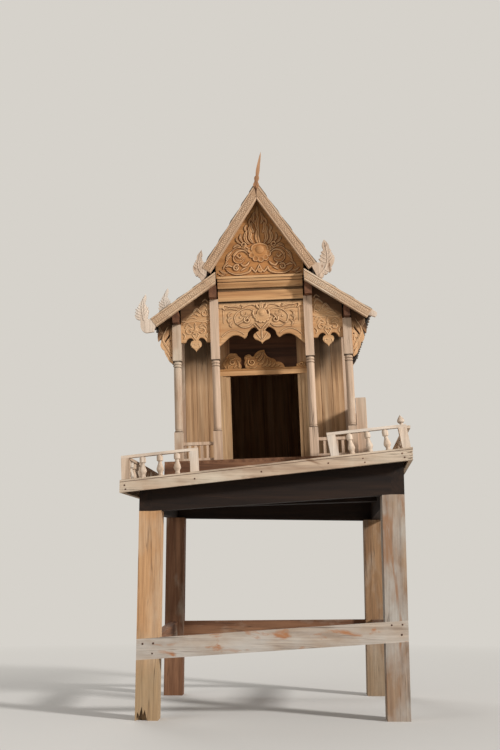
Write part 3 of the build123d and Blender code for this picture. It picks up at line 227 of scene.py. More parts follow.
def wood(name, colours, grain, grey=None, greyness=0.4, stain=None, staining=0.0, stain_size=(5.0, 13.0),
         cracks=0.5, rough=0.78, depth=0.35, contrast=1.0, offset=0.0, leaning=True, pitch=0.0,
         rail_along=None, boards=0.0, board_axis="X", foot=None, tone=False, shade_heights=None,
         roof_shadow=False, seam=None, relief_light_shade=None):
    """Make a finish of weathered timber from its pale, middle and dark colours and its grain's axis."""
    material = bpy.data.materials.new(name)
    material.use_nodes = True
    tree = material.node_tree
    tree.nodes.clear()
    place = tree.nodes.new("ShaderNodeTexCoord").outputs["Object"]
    turned = grain_place(tree, place, offset, leaning, pitch, rail_along, boards, board_axis)

    def along(length, across):
        stretch = [across] * 3
        stretch["XYZ".index(grain)] = length
        return mapped(tree, turned, Scale=stretch)

    def scaled(share, amount, clamp=False):
        return maths(tree, "MULTIPLY", share, amount, clamp)

    # Grain: broad streaks, rings and fine fibres
    pale, mid, dark = [tint(colour) for colour in colours]
    streaks = noise(tree, along(1.6, 26.0), 7.0, 0.62, 0.25)
    fibres = noise(tree, along(7.0, 230.0), 4.0, 0.65)
    figure = add_node(
        tree, "ShaderNodeTexWave", {"wave_type": "BANDS", "bands_direction": "DIAGONAL"},
        Vector=along(0.5, 11.0), Scale=1.6, Distortion=7.0, Detail=3.0, Detail_Scale=0.8,
    )
    colour = ramp(tree, streaks, [
        (0.46 - 0.18 / contrast, dark), (0.46, mid), (0.46 + 0.22 / contrast, pale),
    ])
    rings = ramp(tree, figure.outputs[1], [(0.0, 1.0 - 0.28 * contrast), (0.5, 1.0)])
    fine = ramp(tree, fibres, [(0.3, 0.66), (0.62, 1.08)])
    colour = mix(tree, 0.55, colour, rings, "MULTIPLY")
    colour = mix(tree, 0.6, colour, fine, "MULTIPLY")

    # Weather: greyed patches, stains and a bleached foot
    if grey:
        patches = noise(tree, along(3.2, 7.0), 5.0)
        share = ramp(tree, patches, [(0.60 - 0.4 * greyness, 0.0), (0.86 - 0.4 * greyness, 1.0)])
        colour = mix(tree, scaled(share, 0.85), colour, mix(tree, 0.5, tint(grey), fine, "MULTIPLY"))
    if stain:
        blots = noise(tree, along(*stain_size), 4.0, 0.55, 0.4)
        share = ramp(tree, blots, [(0.66 - 0.25 * staining, 0.0), (0.76 - 0.25 * staining, 1.0)])
        colour = mix(tree, scaled(share, 0.9), colour, tint(stain))
    if foot:
        foot_height, foot_colour = foot
        edge = maths(tree, "ADD", scaled(noise(tree, along(4.0, 22.0), 4.0), 0.3), foot_height - 0.15)
        share = scaled(maths(tree, "SUBTRACT", edge, separate(tree, place)[2]), 6.0, clamp=True)
        bleached_foot = mix(tree, 0.7, tint(foot_colour), fine, "MULTIPLY")
        colour = mix(tree, scaled(share, 0.7), colour, bleached_foot)

    # Splits along the grain, in some places only
    split_lines = noise(tree, along(1.1, 34.0), 3.0, 0.5)
    from_line = maths(tree, "ABSOLUTE", maths(tree, "SUBTRACT", split_lines, 0.5))
    thin = ramp(tree, from_line, [(0.0, 1.0), (0.016, 0.0)])
    some = ramp(tree, noise(tree, along(2.2, 5.0), 2.0), [(0.60 - 0.2 * cracks, 0.0), (0.68, 1.0)])
    split = maths(tree, "MULTIPLY", thin, some)
    colour = mix(tree, scaled(split, 0.8), colour, tint(SPLIT_COLOUR))

    # What belongs to this piece: each board's own tone, painted shade by height, painted shadow of the lower
    # roof, a seam, and on a relief painted shade in its sunken places and a painted highlight on its raised
    # tops
    if tone:
        own = add_node(tree, "ShaderNodeAttribute", {"attribute_name": "tone"}).outputs["Fac"]
        colour = mix(tree, 0.9, colour, ramp(tree, own, [(0.0, 0.62), (1.0, 1.15)]), "MULTIPLY")
    # Painted shade by height
    if shade_heights:
        colour = mix(tree, 1.0, colour, painted_shade_share(tree, place, shade_heights), "MULTIPLY")
    # Painted shadow of the lower roof on the wood under it
    if roof_shadow:
        colour = mix(tree, 1.0, colour, painted_roof_shadow(tree, place), "MULTIPLY")
    if seam:
        height, half_seam = seam
        gap = maths(tree, "ABSOLUTE", maths(tree, "SUBTRACT", over_deck(tree, place), height))
        share = scaled(maths(tree, "LESS_THAN", gap, half_seam), 0.8)
        colour = mix(tree, share, colour, tint(SEAM_COLOUR))
    # Painted shade in a relief's sunken places and a painted highlight on its raised tops
    if relief_light_shade:
        for label, amount, mode, there in (
            ("proud_highlight", 0.5, "MIX", relief_light_shade[0]), ("hollow_shade", 0.85, "MULTIPLY", relief_light_shade[1]),
        ):
            depth_there = add_node(tree, "ShaderNodeAttribute", {"attribute_name": label}).outputs["Fac"]
            colour = mix(tree, scaled(depth_there, amount, clamp=True), colour, tint(there), mode)

    gloss = maths(tree, "ADD", scaled(streaks, -0.18), rough + 0.09)
    relief = maths(tree, "ADD", scaled(fibres, 0.5), scaled(streaks, 0.8))
    relief = maths(tree, "SUBTRACT", relief, scaled(split, 1.2))
    bump = add_node(tree, "ShaderNodeBump", Strength=depth, Distance=0.002, Height=relief)
    shader = add_node(
        tree, "ShaderNodeBsdfPrincipled", Base_Color=colour, Roughness=gloss, Specular_IOR_Level=0.25,
        Normal=bump.outputs[0],
    )
    add_node(tree, "ShaderNodeOutputMaterial", Surface=shader.outputs[0])
    finishes[name] = material


GREY = (172, 158, 140)
WHITE_GREY = (205, 192, 172)
SHINGLE_GREY = (150, 142, 130)
TEAK = ((206, 168, 126), (190, 146, 102), (160, 110, 68))
BLEACHED = ((204, 178, 154), (188, 158, 132), (154, 122, 98))
BROWN = ((142, 102, 74), (112, 76, 53), (72, 47, 34))
# Painted shade: the near-black that the timber under the deck and the roof is given for the shade it lies in
SHADED = ((42, 26, 15), (29, 17, 9), (18, 10, 6))
SHINGLES = ((158, 138, 116), (124, 104, 84), (78, 62, 50))
# Carved wood: the lighter colour of raised tops, partly sun-bleaching and partly painted highlight, and the
# painted shade that darkens the sunken places around them
TEAK_RELIEF_LIGHT_SHADE = ((222, 186, 144), (108, 60, 32))
BLEACHED_RELIEF_LIGHT_SHADE = ((216, 190, 162), (116, 82, 60))

# Painted shade by height: the lowest and highest height, then heights and how light the wood is painted
# there.
# Shade is painted in the grooves of the front beam and under it, under the beam on the centre valance, and in
# the turned grooves of the columns. A wall is painted dark towards its top where the porch or the eaves shade
# it.
BEAM_PAINTED_SHADE = (735.0, 860.0, [
    (735.0, 0.16), (740.2, 0.16), (741.6, 1.0), (787.0, 1.0), (788.6, 0.3), (800.0, 0.22), (802.0, 0.72),
    (812.0, 1.0), (826.8, 1.0), (828.2, 0.35), (830.4, 0.35), (831.6, 1.0), (842.0, 1.0), (843.2, 0.4),
    (844.8, 0.4), (846.0, 1.0),
])
VALANCE_PAINTED_SHADOW = (500.0, 745.0, [(500.0, 1.0), (726.0, 1.0), (731.0, 0.5), (734.0, 0.14), (745.0, 0.14)])
PORCH_PAINTED_SHADE = (0.0, 900.0, [(0.0, 1.0), (370.0, 1.0), (450.0, 0.6), (520.0, 0.28), (900.0, 0.2)])
EAVES_PAINTED_SHADE = (0.0, 900.0, [(0.0, 1.0), (480.0, 1.0), (580.0, 0.74), (660.0, 0.5), (900.0, 0.42)])
COLUMN_PAINTED_SHADE = (100.0, 500.0, [
    (100.0, 1.0), (133.5, 1.0), (135.0, 0.45), (139.0, 0.6), (141.0, 1.0), (144.0, 1.0), (145.0, 0.5),
    (147.0, 1.0), (434.0, 1.0), (436.0, 0.5), (438.5, 0.5), (440.5, 1.0), (447.5, 1.0), (449.0, 0.5),
    (451.0, 0.5), (452.5, 1.0), (460.0, 1.0), (463.5, 0.45), (467.8, 0.32), (469.0, 1.0), (500.0, 1.0),
])

# Ways that several finishes share
carving = dict(grain="X", cracks=0.15, depth=0.15, contrast=0.7, relief_light_shade=TEAK_RELIEF_LIGHT_SHADE)
column = dict(grain="Z", grey=WHITE_GREY, greyness=0.15, cracks=0.6, contrast=0.8)
barge = dict(
    grain="X", grey=WHITE_GREY, greyness=0.15, cracks=0.4, contrast=0.8, relief_light_shade=BLEACHED_RELIEF_LIGHT_SHADE,
)
rail = dict(grain="Z", leaning=False, greyness=0.4)
timber = dict(leaning=False, grey=GREY, greyness=0.2, cracks=0.8)
sill = dict(leaning=False, grey=GREY, greyness=0.1)
under = dict(leaning=False, cracks=0.4)
shingle_look = dict(grain="X", grey=SHINGLE_GREY, greyness=0.5, tone=True)
plank_look = dict(grain="Z", cracks=0.4, boards=0.07, offset=0.7, depth=0.3, tone=True)
side_boards = dict(grain="Z", board_axis="Y", grey=GREY)
plain_band = dict(grain="X", cracks=0.2, contrast=0.7)

# Teak: the carved front, the doorway and the walls
# The side valances, spandrels and brackets carry the painted shadow of the lower roof
wood("carved_teak", TEAK, **carving, roof_shadow=True)
# Painted shadow of the front beam along the valance's top
wood("valance_teak", TEAK, **carving, shade_heights=VALANCE_PAINTED_SHADOW)
wood(
    "over_door_carved", ((184, 136, 88), (160, 112, 66), (120, 76, 42)), "X", cracks=0.2, depth=0.2,
    offset=0.6, contrast=0.7, relief_light_shade=((214, 168, 116), (54, 28, 14)),
)
wood(
    "pediment_teak", ((190, 140, 90), (172, 118, 68), (140, 86, 44)), "X", cracks=0.1, depth=0.15,
    contrast=0.6, relief_light_shade=TEAK_RELIEF_LIGHT_SHADE,
)
wood(
    "bracket_teak", ((212, 172, 130), (194, 150, 108), (160, 114, 76)), "Z", cracks=0.2, depth=0.15,
    contrast=0.7, relief_light_shade=TEAK_RELIEF_LIGHT_SHADE, roof_shadow=True,
)
wood(
    "moulding_teak", ((208, 172, 130), (190, 144, 98), (156, 106, 64)), "X", cracks=0.3, depth=0.25,
    offset=2.6, contrast=0.55,
)
# Painted shade in the front beam's grooves and under it
wood(
    "beam_teak", ((208, 172, 130), (190, 144, 98), (150, 100, 60)), "X", cracks=0.35, depth=0.25,
    offset=2.0, contrast=0.65, shade_heights=BEAM_PAINTED_SHADE,
)
wood(
    "wall_teak", ((182, 142, 104), (154, 112, 76), (104, 70, 44)), "Z", cracks=0.4, boards=0.062,
    offset=0.4, depth=0.3,
)
# Painted shade: near-black brown for the wall over the door, and for the apex socket
wood(
    "painted_shade_teak", ((92, 58, 36), (68, 41, 25), (42, 25, 16)), "X", cracks=0.4, offset=0.9, depth=0.3,
)
wood(
    "side_wall_teak", ((172, 126, 88), (142, 98, 64), (94, 60, 38)), **side_boards, cracks=0.4,
    boards=0.072, greyness=0.25, depth=0.3,
)
wood(
    "door_teak", ((196, 163, 124), (170, 134, 97), (120, 87, 58)), "Z", cracks=0.3, depth=0.25,
    offset=3.0,
)

# Bleached wood: columns, barge boards, flames, horns and balustrades
wood("column_wood", BLEACHED, **column)
# Painted shade in the turned grooves of the columns
wood("turned_column", BLEACHED, **column, shade_heights=COLUMN_PAINTED_SHADE)
wood(
    "outer_column", ((193, 168, 145), (177, 149, 124), (146, 115, 92)),
    **{**column, "greyness": 0.12}, shade_heights=COLUMN_PAINTED_SHADE,
)
wood("dado_wood", BLEACHED, **side_boards, greyness=0.35, cracks=0.6, boards=0.09, offset=1.2)
wood(
    "upper_barge_wood", ((199, 169, 140), (184, 151, 120), (154, 119, 90)), **barge, pitch=UPPER.pitch,
)
wood(
    "lower_barge_wood", ((208, 180, 150), (192, 161, 130), (160, 126, 96)), **barge, pitch=LOWER.pitch,
    offset=0.5,
)
wood(
    "flame_wood", ((200, 176, 153), (180, 153, 129), (132, 102, 79)), "Z", grey=(204, 188, 172),
    greyness=0.25, cracks=0.7, stain=(122, 90, 66), staining=0.22, stain_size=(20.0, 44.0),
    relief_light_shade=((222, 202, 180), (84, 56, 38)),
)
wood(
    "eave_flame_wood", ((220, 202, 184), (202, 181, 161), (156, 131, 109)), "Z", grey=(214, 204, 192),
    greyness=0.4, cracks=0.4, offset=0.9, relief_light_shade=((232, 218, 202), (104, 78, 60)),
)
wood(
    "horn_wood", ((190, 150, 116), (162, 118, 84), (112, 76, 52)), "Z", grey=WHITE_GREY, greyness=0.1,
    cracks=0.3, offset=1.7,
)
wood(
    "rail_wood_x", ((216, 195, 173), (196, 171, 147), (146, 118, 94)), **rail, grey=(206, 196, 184),
    rail_along="X",
)
wood(
    "rail_wood_y", ((212, 190, 166), (190, 164, 138), (144, 116, 92)), **rail, grey=(200, 190, 176),
    rail_along="Y",
)
wood(
    "fascia_x", ((198, 176, 152), (178, 153, 129), (132, 104, 82)), "X", leaning=False, grey=WHITE_GREY,
    greyness=0.45, cracks=1.0, stain=(124, 94, 70), staining=0.2, contrast=0.85, seam=LIP_SEAM,
)
wood(
    "fascia_y", ((194, 170, 144), (172, 144, 116), (126, 98, 76)), "Y", leaning=False, grey=GREY,
    greyness=0.3, cracks=1.0, seam=LIP_SEAM,
)

# The stand, the deck and what lies in the shade
wood(
    "deck_wood", ((170, 132, 98), (138, 102, 74), (92, 66, 48)), "Y", leaning=False, grey=GREY,
    greyness=0.3, cracks=0.8, boards=BOARDED_WIDTH / 12, offset=-BOARDED_WIDTH / 2,
)
wood("sill_x", BROWN, "X", **sill)
wood("sill_y", BROWN, "Y", **sill)
wood("floor_wood", BROWN, "Y", cracks=0.4)
wood(
    "leg_tan", ((204, 160, 116), (182, 138, 97), (140, 102, 68)), "Z", leaning=False,
    grey=(192, 166, 138), greyness=0.35, cracks=0.8, depth=0.45, contrast=0.65,
    foot=(0.36, (152, 131, 101)),
)
wood(
    "leg_grey", ((164, 139, 113), (138, 111, 88), (98, 73, 54)), "Z", leaning=False,
    grey=(170, 164, 155), greyness=0.62, cracks=0.9, offset=2.6, depth=0.5, contrast=0.75,
    stain=(138, 102, 74), staining=0.42, stain_size=(3.6, 22.0),
)
wood(
    "stretcher_grey", ((188, 171, 153), (166, 147, 129), (124, 104, 87)), "X", leaning=False,
    grey=(184, 177, 168), greyness=0.62, cracks=1.0, depth=0.5, contrast=0.75,
    stain=(158, 104, 64), staining=0.36, stain_size=(8.5, 21.0),
)
wood(
    "back_leg_tan", ((160, 126, 92), (134, 101, 71), (92, 66, 46)), "Z", leaning=False, grey=GREY,
    greyness=0.35, cracks=0.9, offset=1.9, depth=0.5, contrast=0.8, foot=(0.3, (140, 120, 96)),
)
wood("frame_z", BROWN, "Z", **{**timber, "greyness": 0.15}, offset=1.1)
wood("frame_x", BROWN, "X", **timber, offset=4.1)
wood("frame_y", BROWN, "Y", **timber, offset=5.3)
wood("under_x", SHADED, "X", **under)
wood("under_y", SHADED, "Y", **under)
wood("rafter_wood", SHADED, "X", pitch=LOWER.pitch, cracks=0.3)
# Painted shade: the purlins' red-brown is darkened to the shade they lie in
wood("purlin_wood", ((118, 78, 53), (90, 57, 38), (56, 34, 23)), "Y")

# The roof, the planks on the walls, the bands on the barge boards and the nails
wood("upper_shingle", SHINGLES, **shingle_look, pitch=UPPER.pitch)
wood("lower_shingle", SHINGLES, **shingle_look, pitch=LOWER.pitch)
wood("roof_board", SHADED, "Y", cracks=0.4, boards=0.1)
wood(
    "cap_wood", ((160, 140, 118), (126, 106, 86), (80, 64, 52)), "Y", grey=SHINGLE_GREY, greyness=0.5,
)
# Painted shade: wall planks darken towards their tops where the porch and the eaves shade them
wood("wall_plank", ((196, 158, 120), (168, 128, 91), (112, 78, 50)), **plank_look, shade_heights=EAVES_PAINTED_SHADE)
wood("porch_plank", ((204, 167, 129), (176, 137, 99), (116, 82, 54)), **plank_look, shade_heights=PORCH_PAINTED_SHADE)
wood(
    "side_plank", ((178, 134, 96), (149, 106, 71), (98, 64, 42)), **side_boards, boards=0.07,
    greyness=0.25, depth=0.3, tone=True, shade_heights=EAVES_PAINTED_SHADE,
)
wood(
    "dado_plank", ((206, 178, 150), (186, 156, 126), (142, 112, 86)), **side_boards, boards=0.07,
    greyness=0.35, cracks=0.6, tone=True,
)
# Painted shade: the bands under the vines are darker for the shade between the leaves
wood("upper_band_shade", ((188, 156, 126), (170, 137, 107), (140, 108, 82)), **plain_band)
wood("lower_band_shade", ((198, 168, 138), (182, 150, 119), (150, 118, 90)), **plain_band)
# Painted shade in the groove beside each border of a barge board
wood("groove_shade", ((134, 100, 74), (114, 82, 60), (84, 58, 42)), **plain_band)
wood(
    "nail_iron", ((112, 78, 58), (84, 56, 42), (54, 36, 28)), "Z", leaning=False, cracks=0.0, rough=0.6,
    depth=0.2,
)

FINISHED_NODES = {
    "leg_tan": "leg_front_left",
    "leg_grey": "leg_front_right",
    "back_leg_tan": "leg_back_right",
    "stretcher_grey": "front_stretcher",
    "frame_x": "back_stretcher",
    "frame_y": "side_stretchers",
    "frame_z": "leg_back_left",
    "under_x": "front_bearer back_bearer floor_joists",
    "under_y": "side_bearers",
    "deck_wood": "deck_boards",
    "fascia_x": "end_fascias end_lips",
    "fascia_y": "side_fascias side_lips",
    "rail_wood_x": "front_left_railing front_right_railing back_railing",
    "rail_wood_y": "side_railings",
    "sill_x": "end_sills",
    "sill_y": "side_sills",
    "floor_wood": "house_floor",
    "turned_column": "inner_columns",
    "outer_column": "outer_columns",
    "column_wood": "corner_posts porch_railings",
    "wall_teak": "front_wall_panels back_wall",
    "painted_shade_teak": "over_door_wall",
    "side_wall_teak": "side_walls",
    "dado_wood": "side_dado dado_end",
    "door_teak": "door_jambs",
    "moulding_teak": "door_head",
    "over_door_carved": "over_door_board",
    "purlin_wood": "purlins clerestory_boards",
    "rafter_wood": "rafters",
    "roof_board": "upper_roof_left upper_roof_right lower_roofs",
    "cap_wood": "ridge_cap",
    "upper_barge_wood": "upper_barges",
    "lower_barge_wood": "lower_barges",
    "beam_teak": "front_beam",
    "pediment_teak": "front_pediment",
    "valance_teak": "centre_valance",
    "carved_teak": "side_valances spandrels",
    "bracket_teak": "eave_brackets",
    "horn_wood": "ridge_horns",
    "flame_wood": "gable_flames",
    "eave_flame_wood": "eave_flames roof_flame",
}
for finish_name, node_names in FINISHED_NODES.items():
    for node_name in node_names.split():
        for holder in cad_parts[node_name].material_slots:
            holder.material = finishes[finish_name]


def new_piece(name, mesh, finish=None):
    """Add a finished mesh as a piece that rides on the house and takes a slot's finish."""
    piece = bpy.data.objects.new(name, mesh)
    bpy.context.scene.collection.objects.link(piece)
    if finish:
        mesh.materials.clear()
        mesh.materials.append(finishes[finish])
    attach(piece, "root")


# Repeats: one shape laid in rows, or a nail at each marked place

def start_tree(name, start, inputs):
    """A node tree that starts from a mesh and takes the named inputs, a seed and a finish."""
    tree = bpy.data.node_groups.new(name, "GeometryNodeTree")
    sockets = {start: "Geometry", **inputs, "Seed": "Int", "Finish": "Material"}
    for label, kind in sockets.items():
        tree.interface.new_socket(label, in_out="INPUT", socket_type="NodeSocket" + kind)
    tree.interface.new_socket("Made", in_out="OUTPUT", socket_type="NodeSocketGeometry")
    return tree, tree.nodes.new("NodeGroupInput").outputs


def end_tree(tree, instances, finish):
    """Make the instances real, give them their material and hand them out."""
    whole = add_node(tree, "GeometryNodeRealizeInstances", Geometry=instances)
    coloured = add_node(tree, "GeometryNodeSetMaterial", Geometry=whole.outputs[0], Material=finish)
    tree.links.new(coloured.outputs[0], tree.nodes.new("NodeGroupOutput").inputs[0])
    return tree


def chance(tree, low, high, seed):
    """A number by chance between two others."""
    pick = add_node(tree, "FunctionNodeRandomValue", {"data_type": "FLOAT"}, Seed=seed)
    link(tree, low, pick.inputs[2])
    link(tree, high, pick.inputs[3])
    return pick.outputs[1]


def row_tree():
    """Lay a shape on a grid of places, each copy a little shifted, turned and toned by chance."""
    tree, given = start_tree("laid_rows", "Shape", {
        "Columns": "Int", "Rows": "Int", "Column Pitch": "Float", "Row Pitch": "Float",
        "Row Shift": "Float", "Wander": "Float", "Tilt": "Float", "Skew": "Float",
    })

    def span(count, pitch):
        return maths(tree, "MULTIPLY", maths(tree, "SUBTRACT", given[count], 1.0), given[pitch])

    def next_seed(step):
        return maths(tree, "ADD", given["Seed"], step)

    def either_way(amount, step):
        return chance(tree, maths(tree, "MULTIPLY", amount, -1.0), amount, next_seed(step))

    depth = span("Rows", "Row Pitch")
    grid = add_node(
        tree, "GeometryNodeMeshGrid", Size_X=span("Columns", "Column Pitch"), Size_Y=depth,
        Vertices_X=given["Columns"], Vertices_Y=given["Rows"],
    )
    x, y, z = separate(tree, tree.nodes.new("GeometryNodeInputPosition").outputs[0])
    from_edge = maths(tree, "ADD", y, maths(tree, "MULTIPLY", depth, 0.5))
    row = maths(tree, "ROUND", maths(tree, "DIVIDE", from_edge, given["Row Pitch"]))
    odd = maths(tree, "MODULO", row, 2.0)
    shift = maths(tree, "MULTIPLY", maths(tree, "SUBTRACT", odd, 0.5), given["Row Shift"])
    step_x = maths(tree, "ADD", shift, either_way(given["Wander"], 1.0))
    shifted = add_node(
        tree, "GeometryNodeSetPosition", Geometry=grid.outputs[0],
        Offset=combine(tree, step_x, either_way(given["Wander"], 2.0), 0.0),
    )
    laid = add_node(
        tree, "GeometryNodeInstanceOnPoints", Points=shifted.outputs[0], Instance=given["Shape"],
        Rotation=combine(tree, given["Tilt"], 0.0, either_way(given["Skew"], 3.0)),
    )
    toned = add_node(
        tree, "GeometryNodeStoreNamedAttribute", {"data_type": "FLOAT", "domain": "INSTANCE"},
        Geometry=laid.outputs[0], Name="tone", Value=chance(tree, 0.0, 1.0, next_seed(4.0)),
    )
    return end_tree(tree, toned.outputs[0], given["Finish"])


def nail_tree():
    """Drive a nail with a flattened head, each a little larger or smaller, at every marked place."""
    tree, given = start_tree("driven_nails", "Places", {"Radius": "Float", "Unevenness": "Float"})
    head = add_node(tree, "GeometryNodeMeshUVSphere", Segments=10, Rings=6, Radius=given["Radius"])
    flat = add_node(tree, "GeometryNodeTransform", Geometry=head.outputs[0], Scale=(1.0, 0.4, 1.0))
    spots = add_node(tree, "GeometryNodeMeshToPoints", Mesh=given["Places"])
    size = chance(
        tree, maths(tree, "SUBTRACT", 1.0, given["Unevenness"]),
        maths(tree, "ADD", 1.0, given["Unevenness"]), given["Seed"],
    )
    driven = add_node(
        tree, "GeometryNodeInstanceOnPoints", Points=spots.outputs[0], Instance=flat.outputs[0], Scale=size,
    )
    return end_tree(tree, driven.outputs[0], given["Finish"])


ROWS = row_tree()
NAILS = nail_tree()


def grown_mesh(name, start, tree, finish, **sizes):
    """Run a node tree on a mesh, with its inputs written with _ for a space, and return a plain mesh."""
    carrier = bpy.data.objects.new(name + "_carrier", start)
    bpy.context.scene.collection.objects.link(carrier)
    modifier = carrier.modifiers.new("laid", "NODES")
    modifier.node_group = tree
    settings = {key.replace("_", " ").title(): value for key, value in sizes.items()}
    settings["Finish"] = finishes[finish]
    for item in tree.interface.items_tree:
        if item.item_type == "SOCKET" and item.in_out == "INPUT" and item.name in settings:
            modifier[item.identifier] = settings[item.name]
    graph = bpy.context.evaluated_depsgraph_get()
    mesh = bpy.data.meshes.new_from_object(
        carrier.evaluated_get(graph), preserve_all_data_layers=True, depsgraph=graph
    )
    mesh.name = name
    carrier.modifiers.remove(modifier)
    bpy.data.objects.remove(carrier)
    return mesh


def lay_rows(name, shape, finish, matrix, **sizes):
    mesh = grown_mesh(name, shape, ROWS, finish, **sizes)
    mesh.transform(matrix)
    return mesh


# Plain closed meshes and where they go

def stacked_mesh(name, rings, crown=None):
    """A closed mesh of rings of points, one over the other, with a middle point on top if one is given."""
    count = len(rings[0])
    top = count * (len(rings) - 1)
    verts = [point for ring in rings for point in ring]
    faces = [list(range(count))[::-1]]
    for low in range(0, top, count):
        for index in range(count):
            following = (index + 1) % count
            faces.append([low + index, low + following, low + following + count, low + index + count])
    if crown:
        faces += [[top + index, top + (index + 1) % count, len(verts)] for index in range(count)]
        verts.append(crown)
    else:
        faces.append([top + index for index in range(count)])
    mesh = bpy.data.meshes.new(name)
    mesh.from_pydata(verts, [], faces)
    return mesh


def plate_mesh(name, outline, thickness, crown=0.0, chamfer=0.0):
    """A thin plate with the given outline in X and Y, chamfered or a little raised in its middle."""
    middle_x = sum(x for x, y in outline) / len(outline)
    middle_y = sum(y for x, y in outline) / len(outline)
    rings = [[(x, y, height) for x, y in outline] for height in (0.0, thickness - chamfer)]
    if chamfer:
        rings.append([
            (x - math.copysign(chamfer, x - middle_x), y - math.copysign(chamfer, y - middle_y), thickness)
            for x, y in outline
        ])
    return stacked_mesh(name, rings, (middle_x, middle_y, thickness + crown) if crown else None)


def rectangle(low_x, high_x, low_y, high_y):
    return [(low_x, low_y), (high_x, low_y), (high_x, high_y), (low_x, high_y)]


def joined(name, meshes):
    """One mesh out of several."""
    whole = bmesh.new()
    for mesh in meshes:
        whole.from_mesh(mesh)
    made = bpy.data.meshes.new(name)
    whole.to_mesh(made)
    whole.free()
    for material in meshes[0].materials:
        made.materials.append(material)
    return made


def axes_matrix(origin, *axes):
    return Matrix.Translation(origin) @ Matrix(axes).transposed().to_4x4()


def surface_matrix(start, end, outward):
    """Layout X runs from start to end in the house's millimetres, layout Z outward, its origin between."""
    first = house(*start)
    last = house(*end)
    along = (last - first).normalized()
    up = (outward - outward.dot(along) * along).normalized()
    return axes_matrix((first + last) / 2, along, up.cross(along), up)


def slope_matrix(side, tier):
    """Turn a flat layout onto a roof slope: layout X runs along the ridge and layout Y up the slope."""
    x, z = tier.eave
    along = Vector((0.0, float(side), 0.0))
    start = house(side * x, ROOF_MIDDLE, z)
    upward = (house(0, ROOF_MIDDLE, z + x * math.tan(tier.pitch)) - start).normalized()
    return axes_matrix(start, along, upward, along.cross(upward))


# Wooden shingles with clipped corners, in overlapping courses on the four slopes, and narrow strips along
# the gable ends, under the ends of the courses
SHINGLE_WIDTH = 0.052
SHINGLE_GAP = 0.0007
SHINGLE_LENGTH = 0.078
SHINGLE_COLUMNS = 20
VERGE_MIDDLE = 0.5145
VERGE_HALF = 0.0135
SLOPE_FOOT = 0.004
clipped = [(0.5, SHINGLE_LENGTH), (0.5, 0.014), (0.3, 0.004), (0.0, 0.0)]
clipped += [(-across, up) for across, up in clipped[2::-1]]
shingle = plate_mesh("shingle", [(across * SHINGLE_WIDTH, up) for across, up in clipped], 0.004, crown=0.0005)
verges = []
for side_name, side in (("left", -1), ("right", 1)):
    for tier_name, tier in TIERS.items():
        flat = slope_matrix(side, tier)
        lift = Matrix.Translation((0.0, (tier.courses - 1) * tier.course / 2 - SLOPE_FOOT, 0.0045))
        name = f"{tier_name}_shingles_{side_name}"
        new_piece(name, lay_rows(
            name, shingle, f"{tier_name}_shingle", flat @ lift, columns=SHINGLE_COLUMNS,
            rows=tier.courses, column_pitch=SHINGLE_WIDTH + SHINGLE_GAP, row_pitch=tier.course,
            row_shift=0.024, wander=0.0012, tilt=-0.055, skew=0.02, seed=11 + side * 3 + tier.courses,
        ))
        for end in (-1, 1):
            middle = end * VERGE_MIDDLE
            strip = plate_mesh(
                "verge", rectangle(
                    middle - VERGE_HALF, middle + VERGE_HALF, SLOPE_FOOT, tier.courses * tier.course
                ), 0.0062, chamfer=0.001,
            )
            strip.transform(flat)
            verges.append(strip)
new_piece("verge_strips", joined("verges", verges), "cap_wood")


# Bands of carved vine between plain borders on the barge boards
BARGE_MIDDLE = 22.0
BARGE_FACES = {"front": (-547.5, -1.0), "back": (562.5, 1.0)}
BARGE_SUNK = -0.6
# Strips along a barge board, from its top edge down: where they start and end, and how far they stand out
BORDER_STRIPS = ((1.5, 7.5, 1.6), (37.0, 43.5, 1.6))
# The band under the vine carries painted shade between its leaves
BAND_STRIPS = ((9.6, 34.9, 0.4),)
# Dark strips of painted shade in the groove beside each border
GROOVE_SHADE_STRIPS = ((7.6, 9.4, 0.15), (35.1, 36.9, 0.15))
VINE_PITCH = 27.0


def leaf_outline(start, end, half, swell=0.0, count=4):
    """Closed outline of a pointed leaf given in millimetres, bowed to its left by the swell."""
    run = (end[0] - start[0], end[1] - start[1])
    length = math.hypot(*run)
    left = (-run[1] / length, run[0] / length)
    outline = []
    for index in range(2 * count):
        share = index / count if index <= count else 2 - index / count
        width = half * math.sin(math.pi * share) ** 0.8 * (-1 if index < count else 1)
        offset = width + swell * math.sin(math.pi * share)
        outline.append(tuple(
            (start[axis] + run[axis] * share + left[axis] * offset) / 1000 for axis in (0, 1)
        ))
    return outline


def vine_mesh():
    """One length of the vine: a flower between curling leaves."""
    leaves = [leaf_outline((-4.4, 0.0), (4.4, 0.0), 4.2)]
    for x in (-1, 1):
        for y in (-1, 1):
            swell = -1.7 * x * y
            leaves.append(leaf_outline((x * 3.4, y * 3.0), (x * 10.6, y * 11.6), 2.7, swell))
            leaves.append(leaf_outline((x * 5.4, y * 1.0), (x * 12.8, y * 5.6), 2.1, swell * 0.6))
    for y in (-1, 1):
        leaves.append(leaf_outline((0.0, y * 5.0), (0.0, y * 12.2), 2.1))
    return joined("vine", [plate_mesh("leaf", outline, 0.0010, crown=0.0016) for outline in leaves])


def barge_place(tier, side, along, down, y):
    """House millimetres of a place on a barge board: along it from its top end and down from its edge."""
    x = tier.top[0] + along * math.cos(tier.pitch) - down * math.sin(tier.pitch)
    z = tier.top[1] - along * math.sin(tier.pitch) - down * math.cos(tier.pitch)
    return side * x, y, z


